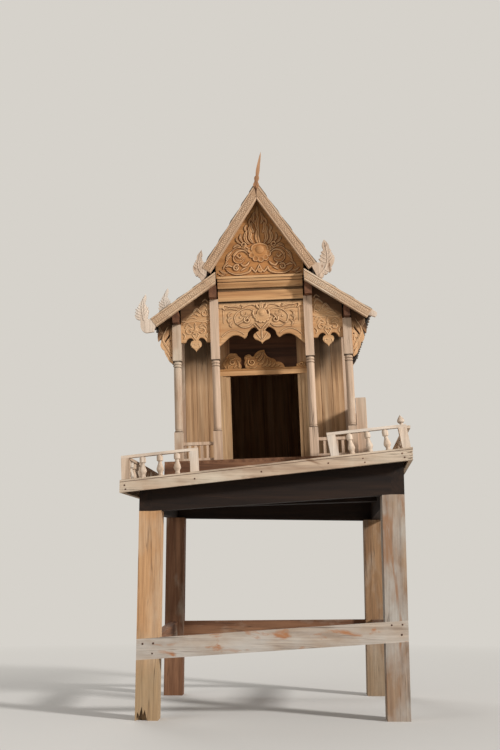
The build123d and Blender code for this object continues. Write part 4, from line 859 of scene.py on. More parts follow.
def barge_strips(name, tier, strips):
    """Raised strips along the barge boards, cut at the mitre and square at the eave."""
    made = []
    for y, outward in BARGE_FACES.values():
        for side in (-1, 1):
            for near, far, rise in strips:
                mitre = [depth * math.tan(tier.pitch) + 2.0 for depth in (near, far)]
                eave = tier.length - 2.0
                corners = [(mitre[0], near), (eave, near), (eave, far), (mitre[1], far)]
                made.append(stacked_mesh(name, [
                    [
                        house(*barge_place(tier, side, along, down, y + outward * height))
                        for along, down in corners
                    ]
                    for height in (BARGE_SUNK, rise)
                ]))
                if side * outward > 0:
                    made[-1].flip_normals()
    return joined(name, made)


vine = vine_mesh()
for tier_name, tier in TIERS.items():
    vines = []
    for y, outward in BARGE_FACES.values():
        for side in (-1, 1):
            first, last = [
                barge_place(tier, side, along, BARGE_MIDDLE, y + outward * 0.3) for along in tier.reach
            ]
            lay = surface_matrix(first, last, Vector((0.0, outward, 0.0)))
            if tier is LOWER:
                lay = lay @ Matrix.Diagonal((1.0, 1.0, 0.6, 1.0))
            vines.append(lay_rows(
                "vines", vine, f"{tier_name}_barge_wood", lay,
                columns=int((tier.reach[1] - tier.reach[0]) / VINE_PITCH), rows=1,
                column_pitch=VINE_PITCH / 1000, row_pitch=VINE_PITCH / 1000, wander=0.0004, skew=0.03,
                seed=31 + int(y) + side,
            ))
    for part, strips, finish in (
        ("borders", BORDER_STRIPS, f"{tier_name}_barge_wood"),
        ("bands", BAND_STRIPS, f"{tier_name}_band_shade"),
        ("grooves", GROOVE_SHADE_STRIPS, "groove_shade"),
    ):
        new_piece(f"{tier_name}_barge_{part}", barge_strips(part, tier, strips), finish)
    new_piece(f"{tier_name}_barge_vines", joined("vines", vines))


# Planks on the walls
PLANK_GAP = 1.8
WALL_FOOT = 2.0
BOARD_FACE = {"front": -317.5, "back": 502.5}
SIDE_FACE = 404.0
DADO_FACE = 460.0
PURLIN_FLANKS = (185.0, 240.0)
PANEL_EDGE = 214.0
PANEL_PLANK = 161.0 / 3
BACK_EDGE = 373.0
BACK_PLANK = 74.6


def plank_row(name, finish, x, start_y, end_y, height, outward, count, seed):
    """Upright planks side by side on a wall that faces left or right, their feet on its foot."""
    pitch = abs(end_y - start_y) / count
    half = (pitch - PLANK_GAP) / 2000
    plank = plate_mesh("plank", rectangle(-half, half, 0.0, height / 1000), 0.0022, chamfer=0.0011)
    first = house(x, start_y, WALL_FOOT)
    last = house(x, end_y, WALL_FOOT)
    upward = (house(0, 0, 1) - house(0, 0, 0)).normalized()
    along = (last - first).normalized() * outward
    place = axes_matrix((first + last) / 2, along, upward, along.cross(upward))
    return lay_rows(
        name, plank, finish, place, columns=count, rows=1, column_pitch=pitch / 1000, row_pitch=0.01,
        wander=0.0002, seed=seed,
    )


new_piece("side_planks", joined("side_planks", [
    plank_row("side_planks", "side_plank", side * SIDE_FACE, -274.0, 459.0, 654.0, side, 10, 21 + side)
    for side in (-1, 1)
]))
new_piece("dado_planks", plank_row(
    "dado_planks", "dado_plank", DADO_FACE, -471.0, 500.0, 260.0, 1, 13, 8,
))


def gable_planks(name, y, outward, spans, top):
    """Planks across a gable wall, each cut to the roof above it."""
    meshes = []
    for low, high in spans:
        x_low = low + PLANK_GAP / 2
        x_high = high - PLANK_GAP / 2
        middle = (x_low + x_high) / 2
        outline = [(x_low, WALL_FOOT), (x_high, WALL_FOOT)]
        outline += [(x, top(x) - 2.0) for x in (x_high, x_low)]
        mesh = stacked_mesh(name, [
            [
                house(
                    x - math.copysign(inset, x - middle), y + outward * height,
                    z - inset if z > WALL_FOOT else z + inset,
                )
                for x, z in outline
            ]
            for inset, height in ((0.0, -0.6), (0.0, 1.2), (1.1, 2.2))
        ])
        tones = mesh.attributes.new("tone", "FLOAT", "POINT")
        tone = (0.5 + 0.37 * math.sin(low * 1.7 + y)) % 1.0
        tones.data.foreach_set("value", [tone] * len(mesh.vertices))
        if outward > 0:
            mesh.flip_normals()
        meshes.append(mesh)
    return joined(name, meshes)


def roof_underside(x):
    """Height of the underside of the roof over a place, in the house's millimetres."""
    tier = LOWER if abs(x) > 187.0 else UPPER
    slope = tier.top[1] - math.tan(tier.pitch) * (abs(x) - tier.top[0])
    return slope - ROOF_THICKNESS / math.cos(tier.pitch)


def front_top(x):
    """Top of the front wall's planks, which stop below the purlin."""
    return roof_underside(x) if abs(x) > 238.0 else FRONT_PURLIN


def back_top(x):
    """Top of the back wall's planks, which keep under the purlins as well."""
    return min(
        BACK_PURLIN if PURLIN_FLANKS[0] < abs(near) < PURLIN_FLANKS[1] else roof_underside(near)
        for near in (x - 0.95, x + 0.95)
    )


panel_spans = []
for index in range(3):
    low = PANEL_EDGE + index * PANEL_PLANK
    panel_spans.append((low, low + PANEL_PLANK))
panel_spans = [(-high, -low) for low, high in panel_spans] + panel_spans
cuts = [side * flank for side in (-1, 1) for flank in PURLIN_FLANKS]
back_spans = []
for index in range(10):
    low = -BACK_EDGE + index * BACK_PLANK
    high = low + BACK_PLANK
    edges = [low, *sorted(cut for cut in cuts if low < cut < high), high]
    back_spans += list(zip(edges, edges[1:]))
for name, outward, spans, top, finish in (
    ("front", -1.0, panel_spans, front_top, "porch_plank"), ("back", 1.0, back_spans, back_top, "wall_plank"),
):
    planks = gable_planks(f"{name}_planks", BOARD_FACE[name], outward, spans, top)
    new_piece(f"{name}_planks", planks, finish)


# Carving: reliefs raised on a board's face as one sculpted sheet
SUNK = -0.6
UNDERSIDE = -1.2
GROUND_RISE = 0.5


def swept_widths(points, half, kind):
    """Half widths along a line: a leaf is widest in its middle, a tail thins out, a bud starts thin."""
    shares = [index / max(len(points) - 1, 1) for index in range(len(points))]
    sizes = {
        "leaf": lambda share: max(0.16, math.sin(math.pi * min(share * 0.94 + 0.05, 1.0)) ** 0.7),
        "tail": lambda share: max(0.2, (1 - share) ** 0.55),
        "grow": lambda share: max(0.25, share ** 0.6),
        "even": lambda share: 1.0,
    }
    return [half * sizes[kind](share) for share in shares]


def line_nearness(grid_x, grid_z, points, widths):
    """How far every place is from a line, in shares of the line's half width beside it."""
    if len(points) == 1:
        return np.hypot(grid_x - points[0][0], grid_z - points[0][1]) / widths[0]
    nearest = np.full(grid_x.shape, 9.0)
    for start, end, start_width, end_width in zip(points, points[1:], widths, widths[1:]):
        run_x = end[0] - start[0]
        run_z = end[1] - start[1]
        share = ((grid_x - start[0]) * run_x + (grid_z - start[1]) * run_z) / (run_x ** 2 + run_z ** 2 + 1e-6)
        share = np.clip(share, 0.0, 1.0)
        gap = np.hypot(grid_x - start[0] - share * run_x, grid_z - start[1] - share * run_z)
        nearest = np.minimum(nearest, gap / (start_width + share * (end_width - start_width)))
    return nearest


def rounding(near, half, profile):
    """Height share across a shape, from 1 at its highest to 0 at its rim."""
    inside = np.clip(1.0 - near, 0.0, 1.0)
    edge = np.clip(inside * half / 1.7, 0.0, 1.0)
    dome = np.sqrt(np.clip(1.0 - near ** 2, 0.0, 1.0))
    if profile == "round":
        return dome
    if profile == "veined":
        return edge * (0.86 + 0.14 * inside) - 0.5 * np.clip(1.0 - near / 0.24, 0.0, 1.0) * (edge > 0)
    if profile == "cupped":
        return edge * (0.42 + 0.58 * np.clip(near, 0.0, 1.0) ** 2)
    return edge * (0.8 + 0.2 * dome)


def inside_outline(grid_x, grid_z, outline):
    """Which places lie inside a closed outline."""
    within = np.zeros(grid_x.shape, dtype=bool)
    for (x_1, z_1), (x_2, z_2) in zip(outline, outline[1:] + outline[:1]):
        crosses = (z_1 > grid_z) != (z_2 > grid_z)
        meets = (x_2 - x_1) * (grid_z - z_1) / ((z_2 - z_1) or 1e-9) + x_1
        within ^= crosses & (grid_x < meets)
    return within


def softened(values, times):
    for _ in range(times):
        padded = np.pad(values, 1, mode="edge")
        beside = padded[:-2, 1:-1] + padded[2:, 1:-1] + padded[1:-1, :-2] + padded[1:-1, 2:]
        values = (beside + 2 * padded[1:-1, 1:-1]) / 6
    return values


def sculpted(grid_x, grid_z, shapes, ground, spacing):
    """Heights over the board: the ground, the raised shapes and then the grooves cut into them."""
    height = np.full(grid_x.shape, SUNK)
    if ground:
        height[inside_outline(grid_x, grid_z, ground)] = GROUND_RISE
    for points, half, rise, kind, profile in sorted(shapes, key=lambda shape: shape[2] < 0):
        reach = half * 1.1 + spacing
        window = []
        for axis, places in ((1, grid_z[:, 0]), (0, grid_x[0])):
            marks = [point[axis] for point in points]
            window.append(slice(*np.searchsorted(places, (min(marks) - reach, max(marks) + reach))))
        window = tuple(window)
        part = height[window]
        if not part.size:
            continue
        near = line_nearness(grid_x[window], grid_z[window], points, swept_widths(points, half, kind))
        if rise < 0:
            part += np.where(part > SUNK, rise * np.clip(1.0 - near, 0.0, 1.0), 0.0)
        else:
            raised = SUNK + (rise - SUNK) * rounding(near, half, profile)
            height[window] = np.maximum(part, np.where(near < 1.0, raised, SUNK))
    return height


def relief_mesh(name, face_y, area, shapes, ground=None, outward=-1.0, spacing=1.7):
    """Sculpt one relief. A shape is (points, half width, rise, kind, profile), in house millimetres.

    A shape with a negative rise is cut in as a groove. The ground outline is filled with a thin sheet.
    """
    x_low, x_high, z_low, z_high = area
    xs = np.linspace(x_low, x_high, round((x_high - x_low) / spacing) + 1)
    zs = np.linspace(z_low, z_high, round((z_high - z_low) / spacing) + 1)
    grid_x, grid_z = np.meshgrid(xs, zs)
    height = sculpted(grid_x, grid_z, shapes, ground, spacing)
    shown = np.maximum(height, 0.0)
    around = softened(shown, 5)

    # Squares with any corner raised are kept, with their corners numbered
    solid = height > SUNK + 0.01
    keep = solid[:-1, :-1] | solid[1:, :-1] | solid[:-1, 1:] | solid[1:, 1:]
    framed = np.pad(keep, 1)
    used = framed[:-1, :-1] | framed[1:, :-1] | framed[:-1, 1:] | framed[1:, 1:]
    total = int(used.sum())
    number = np.full(height.shape, -1)
    number[used] = np.arange(total)
    verts = []
    for rises in (height[used], np.full(total, UNDERSIDE)):
        for x, z, rise in zip(grid_x[used], grid_z[used], rises):
            verts.append(house(x, face_y + outward * rise, z))
    faces = []
    for row, column in np.argwhere(keep):
        a, b = (int(value) for value in number[row, column:column + 2])
        d, c = (int(value) for value in number[row + 1, column:column + 2])
        faces.append([a, b, c, d])
        faces.append([d + total, c + total, b + total, a + total])
        for first, second, beside in (
            (b, a, framed[row, column + 1]), (d, c, framed[row + 2, column + 1]),
            (a, d, framed[row + 1, column]), (c, b, framed[row + 1, column + 2]),
        ):
            if not beside:
                faces.append([first, second, second + total, first + total])
    mesh = bpy.data.meshes.new(name)
    mesh.from_pydata(verts, [], faces)
    # Painted light for the finish: sunken places beside higher relief get painted shade, raised tops a
    # painted highlight
    for label, depth in (("hollow_shade", (around - shown) / 1.6), ("proud_highlight", (shown - around) / 1.2)):
        values = np.clip(depth, 0.0, 1.0)[used]
        attribute = mesh.attributes.new(label, "FLOAT", "POINT")
        attribute.data.foreach_set("value", np.concatenate((values, np.zeros(total))))
    if outward > 0:
        mesh.flip_normals()
    mesh.shade_smooth()
    mesh.set_sharp_from_angle(angle=math.radians(62))
    return mesh


# Shapes to carve with

def bend(*marks, count=9):
    """Points on a smooth line through the marks."""
    ends = [marks[0], *marks, marks[-1]]
    points = []
    for index in range(len(marks) - 1):
        before, start, end, after = ends[index:index + 4]
        for step in range(count):
            share = step / count
            points.append(tuple(
                0.5 * (
                    2 * start[axis]
                    + (end[axis] - before[axis]) * share
                    + (2 * before[axis] - 5 * start[axis] + 4 * end[axis] - after[axis]) * share ** 2
                    + (3 * start[axis] - before[axis] - 3 * end[axis] + after[axis]) * share ** 3
                )
                for axis in (0, 1)
            ))
    points.append(tuple(marks[-1]))
    return points


def stroke(kind, profile, count=9):
    """A maker of strokes of one kind, given by half width, rise and the marks that they pass."""
    return lambda half, rise, *marks: (bend(*marks, count=count), half, rise, kind, profile)


leaf = stroke("leaf", "veined")
flat_leaf = stroke("leaf", "flat")
cupped_leaf = stroke("leaf", "cupped")
round_leaf = stroke("leaf", "round")
tendril = stroke("tail", "round")
flat_tail = stroke("tail", "flat")
leafy_tail = stroke("tail", "veined")
bar = stroke("even", "flat")
angled_bar = stroke("even", "flat", count=3)
bead = stroke("even", "round")
strand = stroke("grow", "flat")


def curl(half, rise, centre, start_radius, end_radius, start, turn, profile="round"):
    """A spiral round a centre from a start angle, in degrees, through a turn, its radius shrinking."""
    points = []
    for index in range(26):
        share = index / 25
        angle = math.radians(start + turn * share)
        radius = start_radius + (end_radius - start_radius) * share
        points.append((centre[0] + radius * math.cos(angle), centre[1] + radius * math.sin(angle)))
    return points, half, rise, "tail", profile


def disc(half, rise, x, z, profile="flat"):
    return [(x, z)], half, rise, "even", profile


def petals(centre, inner, outer, start, end, count, half, rise):
    made = []
    for index in range(count):
        angle = math.radians(start + (end - start) * index / max(count - 1, 1))
        points = [
            (centre[0] + radius * math.cos(angle), centre[1] + radius * math.sin(angle))
            for radius in (inner, (inner + outer) / 2, outer - half)
        ]
        made.append((points, half, rise, "even", "flat"))
        made.append(disc(half * 0.45, -rise * 0.22, *points[-1]))
    return made


def moved(shapes, mirror=1, x=0.0):
    """The shapes mirrored about the middle, if asked, and moved aside."""
    return [
        ([(mirror * px + x, pz) for px, pz in points], half, rise, kind, profile)
        for points, half, rise, kind, profile in shapes
    ]


# Pediment: a lotus boss, scrolls at each side and tongues of flame up to the apex
PEDIMENT_FACE = -477.5
pediment_left = [
    # big cupped scroll with the strands that sweep into it
    strand(7, 6.5, (-50, 966), (-72, 986), (-100, 984), (-118, 966)),
    cupped_leaf(10, 8.5, (-118, 964), (-114, 942), (-98, 932), (-80, 936), (-70, 950)),
    tendril(5, 5.5, (-104, 962), (-92, 952), (-84, 962), (-92, 970)),
    leafy_tail(5.5, 6.0, (-54, 986), (-80, 1002), (-108, 1000), (-136, 978)),
    leaf(6, 6.0, (-128, 984), (-146, 966), (-154, 944)),
    leaf(5, 5.4, (-134, 962), (-150, 946), (-158, 924)),
    leaf(5, 5.2, (-146, 932), (-162, 918), (-172, 900)),
    # little spiral above it with its leaves
    curl(5, 7.0, (-72, 1015), 13, 4, -70, 470),
    bar(4, 5.5, (-58, 1004), (-48, 994), (-46, 978)),
    leaf(6, 6.0, (-84, 1008), (-104, 1014), (-120, 1002)),
    leaf(5.5, 5.6, (-84, 1020), (-100, 1034), (-106, 1050)),
    leaf(6, 6.0, (-74, 1028), (-86, 1048), (-82, 1070)),
    # flower spiral in the corner and the stem below it
    curl(5.5, 7.5, (-108, 903), 16, 4, 60, 480),
    disc(5, 8.0, -108, 903, "round"),
    flat_tail(6, 6.0, (-38, 900), (-50, 882), (-80, 872), (-116, 872), (-146, 886), (-160, 904)),
    flat_leaf(5, 6.0, (-126, 908), (-144, 916), (-158, 910)),
    leaf(5.5, 5.2, (-150, 882), (-170, 882), (-188, 896)),
    flat_leaf(4, 5.0, (-160, 872), (-180, 871), (-198, 880)),
    round_leaf(6, 7.5, (-88, 924), (-74, 911), (-57, 917), (-46, 932)),
    flat_leaf(4, 5.4, (-62, 904), (-76, 896), (-90, 888)),
    # zigzag beside the diamond
    angled_bar(4, 6.0, (-40, 904), (-29, 889), (-20, 879)),
    angled_bar(4, 6.0, (-20, 879), (-10, 894), (0, 914)),
    # tongues of flame
    leaf(9, 6.0, (-44, 1018), (-60, 1038), (-62, 1062), (-52, 1086)),
    leaf(9, 6.6, (-26, 1022), (-40, 1046), (-38, 1074), (-46, 1102)),
    leaf(6, 5.6, (-54, 1078), (-62, 1096), (-54, 1114)),
    leaf(9, 6.4, (-22, 1074), (-34, 1098), (-28, 1126)),
    flat_leaf(6, 5.4, (-40, 1112), (-40, 1132), (-28, 1150)),
    leaf(8, 6.0, (-14, 1118), (-24, 1146), (-14, 1176)),
]
pediment_shapes = pediment_left + moved(pediment_left, -1) + [
    leaf(12, 7.2, (4, 1016), (-6, 1050), (0, 1092)),
    leaf(10, 6.6, (0, 1084), (-5, 1116), (2, 1156)),
    flat_leaf(7, 6.0, (0, 1150), (-3, 1176), (0, 1208)),
    disc(13, 6.5, 3, 888),
    disc(6, -2.5, 3, 888),
]
# the lotus boss over its ring of petals
for index in range(7):
    angle = math.radians(176 + 198 * index / 6)
    pediment_shapes.append(disc(14.5, 8.0, 4 + 43 * math.cos(angle), 983 + 43 * math.sin(angle), "cupped"))
pediment_shapes += [
    disc(37, 7.0, 4, 984),
    bead(6, 8.5, (-34, 990), (-27, 1008), (4, 1017), (35, 1008), (42, 990)),
    disc(24, 14.0, 5, 988, "round"),
]
PEDIMENT_GROUND = [(-200, 861), (200, 861), (200, 942), (0, 1250), (-200, 942)]
new_piece("pediment_carving", relief_mesh(
    "pediment_carving", PEDIMENT_FACE, (-204, 204, 858, 1254), pediment_shapes, PEDIMENT_GROUND
), "pediment_teak")

# Centre valance: a lotus between two scrolls under a scalloped border
VALANCE_FACE = -475.0
VALANCE_RISE = 1.45
valance_left = [
    bar(3.2, 3.2, (-34, 692), (-52, 702), (-80, 703), (-106, 690), (-124, 668), (-121, 642), (-112, 630)),
    leafy_tail(5, 4.6, (-112, 632), (-96, 640), (-76, 652), (-58, 668), (-44, 676)),
    curl(4.5, 5.0, (-66, 650), 14, 3, 150, 470),
    curl(5.5, 5.0, (-76, 682), 15, 6, 150, 250, "cupped"),
    disc(5, 4.4, -98, 664, "round"),
    flat_leaf(4, 3.8, (-108, 626), (-86, 616), (-58, 618), (-42, 632)),
    bead(4.5, 4.6, (-34, 694), (-38, 678), (-28, 660)),
    leaf(6, 4.2, (-90, 706), (-74, 720), (-44, 726), (-26, 716)),
    leaf(7, 4.2, (-96, 710), (-124, 722), (-158, 718)),
    leaf(5, 3.8, (-112, 700), (-138, 708), (-166, 704)),
    flat_leaf(5, 3.8, (-168, 728), (-178, 716), (-168, 700)),
    leaf(5, 3.8, (-136, 690), (-152, 680), (-150, 662)),
    leaf(5, 3.8, (-138, 668), (-154, 656), (-150, 638)),
    leaf(4.5, 3.6, (-132, 646), (-146, 632), (-138, 616)),
    bead(2.6, 3.6, (-27, 636), (-15, 622), (-3, 608)),
    bead(2.2, 3.2, (-36, 628), (-22, 612), (-10, 598)),
    bead(2.2, 2.8, (-176, 700), (-175, 670), (-175, 640)),
    bead(2.2, 2.8, (-186, 574), (-160, 596), (-130, 604), (-104, 598), (-84, 584)),
    # veins of the heart
    round_leaf(3, 2.6, (-26, 588), (-14, 568), (0, 552)),
]
# scalloped border under the beam
for x, z, radius in (
    (-190, 734, 24), (-160, 737, 15), (-134, 737, 17), (-106, 738, 14), (-80, 735, 19), (-54, 738, 13),
    (-31, 737, 15), (-10, 738, 13),
):
    valance_left.append(disc(radius, 3.4, x, z))
valance_shapes = valance_left + moved(valance_left, -1) + petals((3, 674), 10, 42, 196, 344, 6, 10, 4.4) + [
    disc(24, 5.2, 3, 679),
    disc(18.5, 8.6, 3, 680, "round"),
    leaf(9, 4.6, (3, 700), (0, 716), (3, 734)),
    flat_leaf(6, 4.2, (-6, 702), (-18, 714), (-20, 728)),
    flat_leaf(6, 4.2, (12, 702), (24, 714), (26, 728)),
    round_leaf(4, 3.2, (0, 600), (0, 576), (0, 556)),
]
valance_shapes = [
    ([(min(max(x, -190), 190), min(z, 733)) for x, z in points], half, rise * VALANCE_RISE, kind, profile)
    for points, half, rise, kind, profile in valance_shapes
]
# lower edge of its right half, from the side to the tip of the heart
valance_edge = [
    (194, 546), (178, 558), (154, 580), (125, 588), (98, 582), (85, 574), (74, 584), (62, 598), (50, 612),
    (33, 618), (20, 612), (14, 600), (18, 592), (34, 582), (40, 572), (32, 561), (14, 552), (0, 542),
]
VALANCE_GROUND = [(-194, 735), (194, 735), *valance_edge, *[(-x, z) for x, z in valance_edge[-2::-1]]]
new_piece("centre_valance_carving", relief_mesh(
    "centre_valance_carving", VALANCE_FACE, (-196, 196, 540, 737), valance_shapes, VALANCE_GROUND
), "valance_teak")


def both_sides(name, area, shapes_on):
    """The reliefs of a left and a right board of one piece, whose area is given on the right."""
    low, high, foot, top = area
    areas = {-1: (-high, -low, foot, top), 1: area}
    return joined(name, [relief_mesh(name, VALANCE_FACE, areas[side], shapes_on(side)) for side in (-1, 1)])


# Side valances and the spandrels over them
SIDE_MIDDLE = 306.5
side_half = [
    curl(4, 4.2, (-30, 606), 17, 4, 60, 440),
    leaf(5, 3.8, (-50, 622), (-34, 640), (-14, 624)),
    flat_leaf(4, 3.4, (-60, 640), (-44, 650), (-28, 644)),
    flat_leaf(4, 3.4, (-60, 600), (-50, 586), (-56, 570)),
    bead(3, 3.4, (-16, 592), (-8, 578), (0, 566)),
    tendril(3, 3.0, (-18, 534), (-14, 546), (-2, 540)),
    bar(4, 3.2, (-62, 656), (-30, 652), (0, 656)),
]
side_middle = petals((0, 608), 5, 20, 190, 350, 5, 5, 4.4) + [
    disc(9.5, 6.0, 0, 612, "round"),
    leaf(5, 4.0, (0, 620), (-2, 634), (0, 648)),
]
scroll = [
    curl(4.5, 4.4, (-42, 692), 19, 4, 120, 420),
    leaf(6, 4.2, (-24, 692), (-6, 712), (16, 688)),
    leaf(5.5, 4.0, (-16, 678), (8, 692), (34, 672)),
    flat_leaf(4.5, 3.6, (-6, 666), (20, 674), (46, 662)),
    leaf(5.5, 3.8, (-60, 718), (-44, 738), (-18, 718)),
    flat_leaf(4.5, 3.6, (-60, 744), (-48, 758), (-32, 746)),
    flat_leaf(4, 3.4, (-62, 674), (-58, 690), (-62, 706)),
]
side_whole = side_half + moved(side_half, -1) + side_middle
new_piece("side_valance_carving", both_sides(
    "side_valance_carving", (240, 373, 528, 770),
    lambda side: moved(side_whole + moved(scroll, side), x=side * SIDE_MIDDLE),
), "carved_teak")

# Brackets under the eaves, their strokes given in shares of the reach and the height
BRACKET_FOOT = (415, 458)
BRACKET_SIZE = (70.0, 213.0)
bracket_shapes = []
for make, half, rise, *marks in (
    (leaf, 6, 3.0, (0.1, 0.2), (0.3, 0.32), (0.52, 0.44), (0.7, 0.56)),
    (leaf, 5, 2.8, (0.12, 0.36), (0.2, 0.46), (0.3, 0.4)),
    (flat_leaf, 4, 2.6, (0.06, 0.06), (0.2, 0.14), (0.4, 0.24)),
    (cupped_leaf, 6, 3.2, (0.64, 0.66), (0.8, 0.74), (0.88, 0.84)),
    (flat_leaf, 4, 2.8, (0.6, 0.46), (0.66, 0.54), (0.6, 0.64), (0.44, 0.74), (0.28, 0.84)),
    (leaf, 4, 2.6, (0.12, 0.6), (0.1, 0.7), (0.04, 0.8)),
):
    bracket_shapes.append(make(half, rise, *[
        (BRACKET_FOOT[0] + x * BRACKET_SIZE[0], BRACKET_FOOT[1] + z * BRACKET_SIZE[1]) for x, z in marks
    ]))
new_piece("bracket_carving", both_sides(
    "bracket_carving", (416, 486, 458, 672), lambda side: moved(bracket_shapes, side),
), "bracket_teak")

# The cut-out board over the door
OVER_DOOR_FACE = -329.5
over_door_shapes = [
    # corner leaf: a hood on a curling stem over two low leaves
    cupped_leaf(6.5, 5.2, (-172, 512), (-158, 520), (-142, 520), (-128, 510)),
    round_leaf(4, 4.4, (-164, 506), (-152, 496), (-140, 500), (-132, 506)),
    curl(4, 5.0, (-147, 482), 14, 3, 100, 440),
    leaf(5, 4.6, (-180, 458), (-188, 474), (-182, 492), (-170, 500)),
    leaf(4.5, 4.4, (-168, 455), (-166, 466), (-154, 470)),
    leaf(5, 4.6, (-118, 456), (-116, 474), (-124, 492)),
    flat_leaf(4.5, 4.2, (-140, 456), (-134, 464), (-124, 468)),
    # crown: a scroll under a hood, and leaves that fall to the right
    cupped_leaf(6, 5.2, (-82, 500), (-76, 512), (-64, 512), (-56, 502)),
    curl(4.5, 5.4, (-56, 480), 18, 3, 150, 520),
    leaf(4.5, 4.4, (-84, 456), (-82, 468), (-76, 480)),
    leaf(4.5, 4.4, (-64, 454), (-44, 454), (-30, 464)),
    leaf(6.5, 5.0, (-34, 500), (-20, 512), (-8, 526)),
    leaf(6.5, 5.4, (-26, 486), (-10, 500), (2, 530)),
    leaf(6.5, 5.0, (-22, 468), (-4, 478), (8, 508)),
    leaf(6, 5.0, (-8, 458), (14, 468), (20, 494)),
    leaf(5.5, 4.8, (14, 456), (30, 466), (36, 486)),
    leaf(5, 4.6, (34, 455), (48, 462), (54, 476)),
    leaf(4.5, 4.4, (54, 455), (68, 460), (78, 468)),
    flat_leaf(3.5, 4.0, (74, 453), (84, 455), (92, 455)),
    # small corner scroll on the right, and the bead along the foot
    curl(3.5, 4.8, (178, 461), 10, 3, -20, 420),
    flat_leaf(3.5, 4.0, (160, 453), (162, 460), (168, 466)),
    flat_leaf(3.0, 4.0, (190, 454), (195, 460), (194, 468)),
    bar(2.6, 2.2, (-211, 446), (0, 446), (211, 446)),
]
OVER_DOOR_GROUND = [
    (-212, 441), (-212, 450), (-181, 450), (-191, 468), (-188, 488), (-181, 498), (-170, 507), (-162, 512),
    (-156, 518), (-146, 523), (-136, 522), (-124, 514), (-116, 504), (-112, 488), (-116, 474), (-110, 462),
    (-108, 450), (-80, 450), (-86, 464), (-88, 480), (-84, 494), (-84, 506), (-76, 514), (-68, 515),
    (-58, 508), (-46, 508), (-38, 512), (-22, 524), (-6, 531), (5, 535), (10, 518), (18, 506), (32, 496),
    (44, 490), (56, 482), (62, 476), (76, 470), (90, 462), (98, 450), (158, 450), (159, 460), (168, 466),
    (178, 469), (190, 468), (196, 460), (196, 450), (212, 450), (212, 441),
]
new_piece("over_door_carving", relief_mesh(
    "over_door_carving", OVER_DOOR_FACE, (-214, 214, 440, 540), over_door_shapes, OVER_DOOR_GROUND,
    spacing=1.5,
), "over_door_carved")

# Flames: a stem and a rib out to each tooth, by half width, rise and marks in shares of the flame's width
# and height
FLAME_SPACING = 1.3
FLAME_FACES = ((-545.5, -1.0), (560.5, 1.0))
ROOF_FLAME_FACE = -520.5
LEAF_RIBS = [
    (tendril, 5.0, 2.6, (0.0, -0.02), (0.1, 0.3), (0.12, 0.56), (0.02, 0.8), (-0.12, 0.95)),
    (round_leaf, 4.6, 2.0, (0.06, 0.08), (0.34, 0.11), (0.6, 0.19)),
    (round_leaf, 4.4, 2.0, (0.1, 0.18), (0.34, 0.22), (0.57, 0.31)),
    (round_leaf, 4.2, 2.0, (0.12, 0.3), (0.34, 0.34), (0.55, 0.43)),
    (round_leaf, 4.0, 1.9, (0.13, 0.42), (0.28, 0.44), (0.42, 0.5)),
    (round_leaf, 3.6, 1.8, (0.12, 0.53), (0.22, 0.56), (0.32, 0.59)),
    (round_leaf, 4.4, 2.0, (0.0, 0.1), (-0.14, 0.2), (-0.31, 0.35)),
    (round_leaf, 4.2, 2.0, (0.04, 0.26), (-0.1, 0.36), (-0.27, 0.47)),
    (round_leaf, 4.0, 1.9, (0.08, 0.42), (-0.03, 0.48), (-0.15, 0.56)),
]
RIGHT_RIBS = [
    (tendril, 6.0, 2.6, (0.16, -0.52), (0.46, -0.26), (0.62, 0.1), (0.6, 0.5), (0.5, 0.9)),
    (round_leaf, 4.4, 2.0, (0.46, -0.3), (0.58, -0.36), (0.68, -0.37)),
    (round_leaf, 4.0, 1.8, (0.3, -0.4), (0.36, -0.46), (0.42, -0.47)),
    (round_leaf, 4.8, 2.0, (0.62, -0.04), (0.8, 0.08), (0.95, 0.24)),
    (round_leaf, 4.4, 2.0, (0.64, 0.12), (0.78, 0.22), (0.89, 0.35)),
    (round_leaf, 4.2, 1.9, (0.62, 0.26), (0.73, 0.36), (0.82, 0.47)),
    (round_leaf, 4.8, 2.0, (0.54, 0.0), (0.36, 0.06), (0.19, 0.16)),
    (round_leaf, 4.4, 2.0, (0.56, 0.16), (0.4, 0.22), (0.26, 0.31)),
    (round_leaf, 4.2, 1.9, (0.56, 0.32), (0.44, 0.38), (0.33, 0.46)),
]
LEFT_RIBS = [
    (tendril, 5.0, 2.4, (-0.2, -0.4), (0.2, -0.2), (0.42, 0.1), (0.3, 0.5), (0.06, 0.9)),
    (round_leaf, 3.6, 1.8, (0.2, -0.24), (0.36, -0.34), (0.56, -0.38)),
    (round_leaf, 3.8, 1.9, (0.44, -0.04), (0.68, 0.02), (0.92, 0.12)),
    (round_leaf, 3.6, 1.9, (0.44, 0.12), (0.64, 0.17), (0.84, 0.25)),
    (round_leaf, 3.4, 1.8, (0.4, 0.26), (0.54, 0.31), (0.67, 0.38)),
    (round_leaf, 4.0, 1.9, (0.32, 0.04), (0.1, 0.14), (-0.14, 0.28)),
    (round_leaf, 3.6, 1.8, (0.3, 0.26), (0.16, 0.34), (0.02, 0.45)),
]


def ribbed(ribs, foot, width, height, side, y, outward=-1.0, margin=7.0):
    """The ribs of one flame as a relief on the face at that y."""
    shapes = [
        make(half, rise, *[(side * (foot[0] + x * width), foot[1] + z * height) for x, z in marks])
        for make, half, rise, *marks in ribs
    ]
    xs = [x for points, *_ in shapes for x, z in points]
    zs = [z for points, *_ in shapes for x, z in points]
    area = (min(xs) - margin, max(xs) + margin, min(zs) - margin, max(zs) + margin)
    return relief_mesh("ribs", y, area, shapes, outward=outward, spacing=FLAME_SPACING)


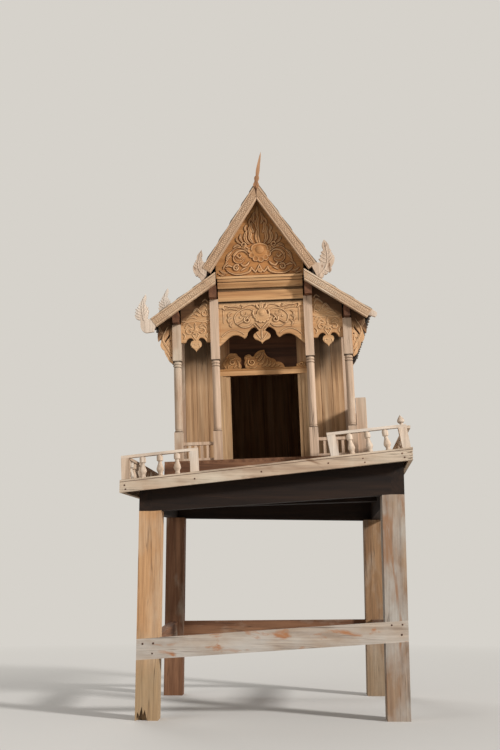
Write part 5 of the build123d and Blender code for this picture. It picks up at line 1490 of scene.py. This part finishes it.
new_piece("gable_flame_ribs", joined("flame_ribs", [
    ribbed(ribs, UPPER.eave, width, height, side, y, outward)
    for y, outward in FLAME_FACES
    for ribs, width, height, side in ((LEFT_RIBS, 42.0, 89.5, -1), (RIGHT_RIBS, 83.0, 112.5, 1))
]), "flame_wood")
new_piece("eave_flame_ribs", joined("flame_ribs", [
    ribbed(
        LEAF_RIBS, (LOWER.eave[0] + 31.0, LOWER.eave[1] - 3.0), 65.0, 120.0, -1, FLAME_FACES[0][0],
    ),
    ribbed(LEAF_RIBS[:1] + LEAF_RIBS[2:], (437.0, 695.4), 58.0, 112.0, -1, ROOF_FLAME_FACE),
]), "eave_flame_wood")

# Peg and socket where the two upper barge boards meet under the ridge horn
# The socket is a sunken patch of painted shade
for name, foot, shape, finish in (
    ("apex_socket", 1226, ([(-1, 1282), (-2, 1262), (-2, 1240)], 8, 1.0, "tail", "flat"), "painted_shade_teak"),
    ("apex_peg", 1256, disc(9, 9.0, 0, 1274, "round"), "horn_wood"),
):
    new_piece(name, joined(name, [
        relief_mesh(name, y, (-16, 16, foot, 1292), [shape], outward=outward, spacing=1.2)
        for y, outward in BARGE_FACES.values()
    ]), finish)


# Nails: in the fascia, in the joints of the front stretcher and in the brackets
FASCIA_FACE = -0.6578
STRETCHER_FACE = -0.5765
NAIL_HEAD = 0.0036
JOINT_NAIL_HEAD = 0.0042
# Middle of each front leg, and the top of the stretcher's joint with it
STRETCHER_JOINTS = ((-0.511, 0.337), (0.555, 0.416))
# The nails in each bracket: how far from the middle, and their heights
BRACKET_NAILS = (424.0, (566.0, 486.0))


def drive_nails(name, places, radius, seed):
    spots = bpy.data.meshes.new(name + "_places")
    spots.from_pydata([tuple(place) for place in places], [], [])
    mesh = grown_mesh(name, spots, NAILS, "nail_iron", radius=radius, unevenness=0.15, seed=seed)
    mesh.shade_smooth()
    new_piece(name, mesh)


def fascia_place(x, drop):
    """A place on the front fascia, by how far it lies below the deck."""
    deck = FRONT_LEFT + (x + DECK_WIDTH / 2) / DECK_WIDTH * (FRONT_RIGHT - FRONT_LEFT)
    return x, FASCIA_FACE, deck - drop


drive_nails("fascia_nails", [fascia_place(x, drop) for x, drop in (
    (-0.615, 0.016), (-0.61, 0.034), (-0.31, 0.022), (-0.02, 0.024), (0.27, 0.02), (0.42, 0.016),
    (0.428, 0.034), (0.59, 0.014), (0.6, 0.032),
)], NAIL_HEAD, 3)
drive_nails("joint_nails", [
    (x + aside, STRETCHER_FACE, top - drop)
    for x, top in STRETCHER_JOINTS
    for aside, drop in ((-0.022, 0.022), (0.02, 0.062), (0.024, 0.02))
], JOINT_NAIL_HEAD, 4)
drive_nails("bracket_nails", [
    house(side * BRACKET_NAILS[0], VALANCE_FACE - 0.3, z) for side in (-1, 1) for z in BRACKET_NAILS[1]
], NAIL_HEAD, 5)


# Stage: a wide pale floor that fades into an even pale background behind it
BACKGROUND = tint((214, 210, 203))
FLOOR_COLOUR = tint((206, 202, 196))
FLOOR_RADIUS = 30.0
FLOOR_CORNERS = 48
FADE_REACH = 8.0
floor_mesh = bpy.data.meshes.new("studio_floor")
floor_angles = [2 * math.pi * step / FLOOR_CORNERS for step in range(FLOOR_CORNERS)]
floor_mesh.from_pydata(
    [(FLOOR_RADIUS * math.cos(angle), FLOOR_RADIUS * math.sin(angle), 0.0) for angle in floor_angles],
    [], [list(range(FLOOR_CORNERS))],
)
studio_floor = bpy.data.objects.new("studio_floor", floor_mesh)
bpy.context.scene.collection.objects.link(studio_floor)
pale_floor = bpy.data.materials.new("pale_floor")
pale_floor.use_nodes = True
pale_tree = pale_floor.node_tree
near_floor = pale_tree.nodes["Principled BSDF"]
near_floor.inputs["Base Color"].default_value = FLOOR_COLOUR
near_floor.inputs["Roughness"].default_value = 0.9
away = add_node(pale_tree, "ShaderNodeVectorMath", {"operation": "LENGTH"})
pale_tree.links.new(pale_tree.nodes.new("ShaderNodeTexCoord").outputs["Object"], away.inputs[0])
distance = maths(pale_tree, "MULTIPLY", away.outputs["Value"], 1 / FADE_REACH)
fade = ramp(pale_tree, distance, [(0.12, 0.0), (0.75, 1.0)])
far_floor = add_node(pale_tree, "ShaderNodeEmission", Color=BACKGROUND)


def camera_rays(tree, *kinds):
    """1 for a ray of one of the kinds, such as one straight from the camera, and 0 for any other."""
    rays = tree.nodes.new("ShaderNodeLightPath").outputs
    any_kind = rays["Is Camera Ray"]
    for kind in kinds:
        any_kind = maths(tree, "MAXIMUM", any_kind, rays[f"Is {kind} Ray"])
    return any_kind


def mix_shaders(tree, factor, first, second, output):
    """Hand out a mix of two shaders."""
    mixed = add_node(tree, "ShaderNodeMixShader", Fac=factor)
    tree.links.new(first.outputs[0], mixed.inputs[1])
    tree.links.new(second.outputs[0], mixed.inputs[2])
    tree.links.new(mixed.outputs[0], tree.nodes[output].inputs[0])


directly = maths(pale_tree, "MULTIPLY", camera_rays(pale_tree, "Glossy"), fade)
mix_shaders(pale_tree, directly, near_floor, far_floor, "Material Output")
floor_mesh.materials.append(pale_floor)

# Light and camera
world = bpy.data.worlds.new("studio_light")
bpy.context.scene.world = world
world.use_nodes = True
sky = world.node_tree
lighting = sky.nodes["Background"]
lighting.inputs[0].default_value = (1.0, 0.99, 0.97, 1.0)
lighting.inputs[1].default_value = 0.28
backdrop = add_node(sky, "ShaderNodeBackground", Color=BACKGROUND)
mix_shaders(sky, camera_rays(sky, "Glossy", "Transmission"), lighting, backdrop, "World Output")


def set_up(name, data, place, direction):
    """Put a lamp or the camera at a place, looking in a direction."""
    placed = bpy.data.objects.new(name, data)
    placed.location = place
    placed.rotation_euler = direction.to_track_quat("-Z", "Y").to_euler()
    bpy.context.scene.collection.objects.link(placed)
    return placed


for name, place, target, size, power in (
    ("key_light", (10.56, -8.22, 6.32), (0.0, -0.3, 1.7), 1.5, 2320.0),
    ("fill_light", (-4.4, -4.0, 2.4), (0.0, 0.0, 1.2), 3.0, 58.0),
    ("back_light", (-2.0, 4.5, 5.0), (0.0, 0.0, 1.4), 3.0, 125.0),
):
    lamp = bpy.data.lights.new(name, "AREA")
    lamp.size = size
    lamp.energy = power
    set_up(name, lamp, place, Vector(target) - Vector(place))

camera = bpy.data.cameras.new("photo_camera")
camera.lens = 50.0
camera.sensor_width = 36.0
bpy.context.scene.camera = set_up(
    "photo_camera", camera, (0.0786, -5.1625, 0.541), Vector((-0.0322, 0.97883, 0.2021))
)
bpy.context.scene.view_settings.view_transform = "Standard"
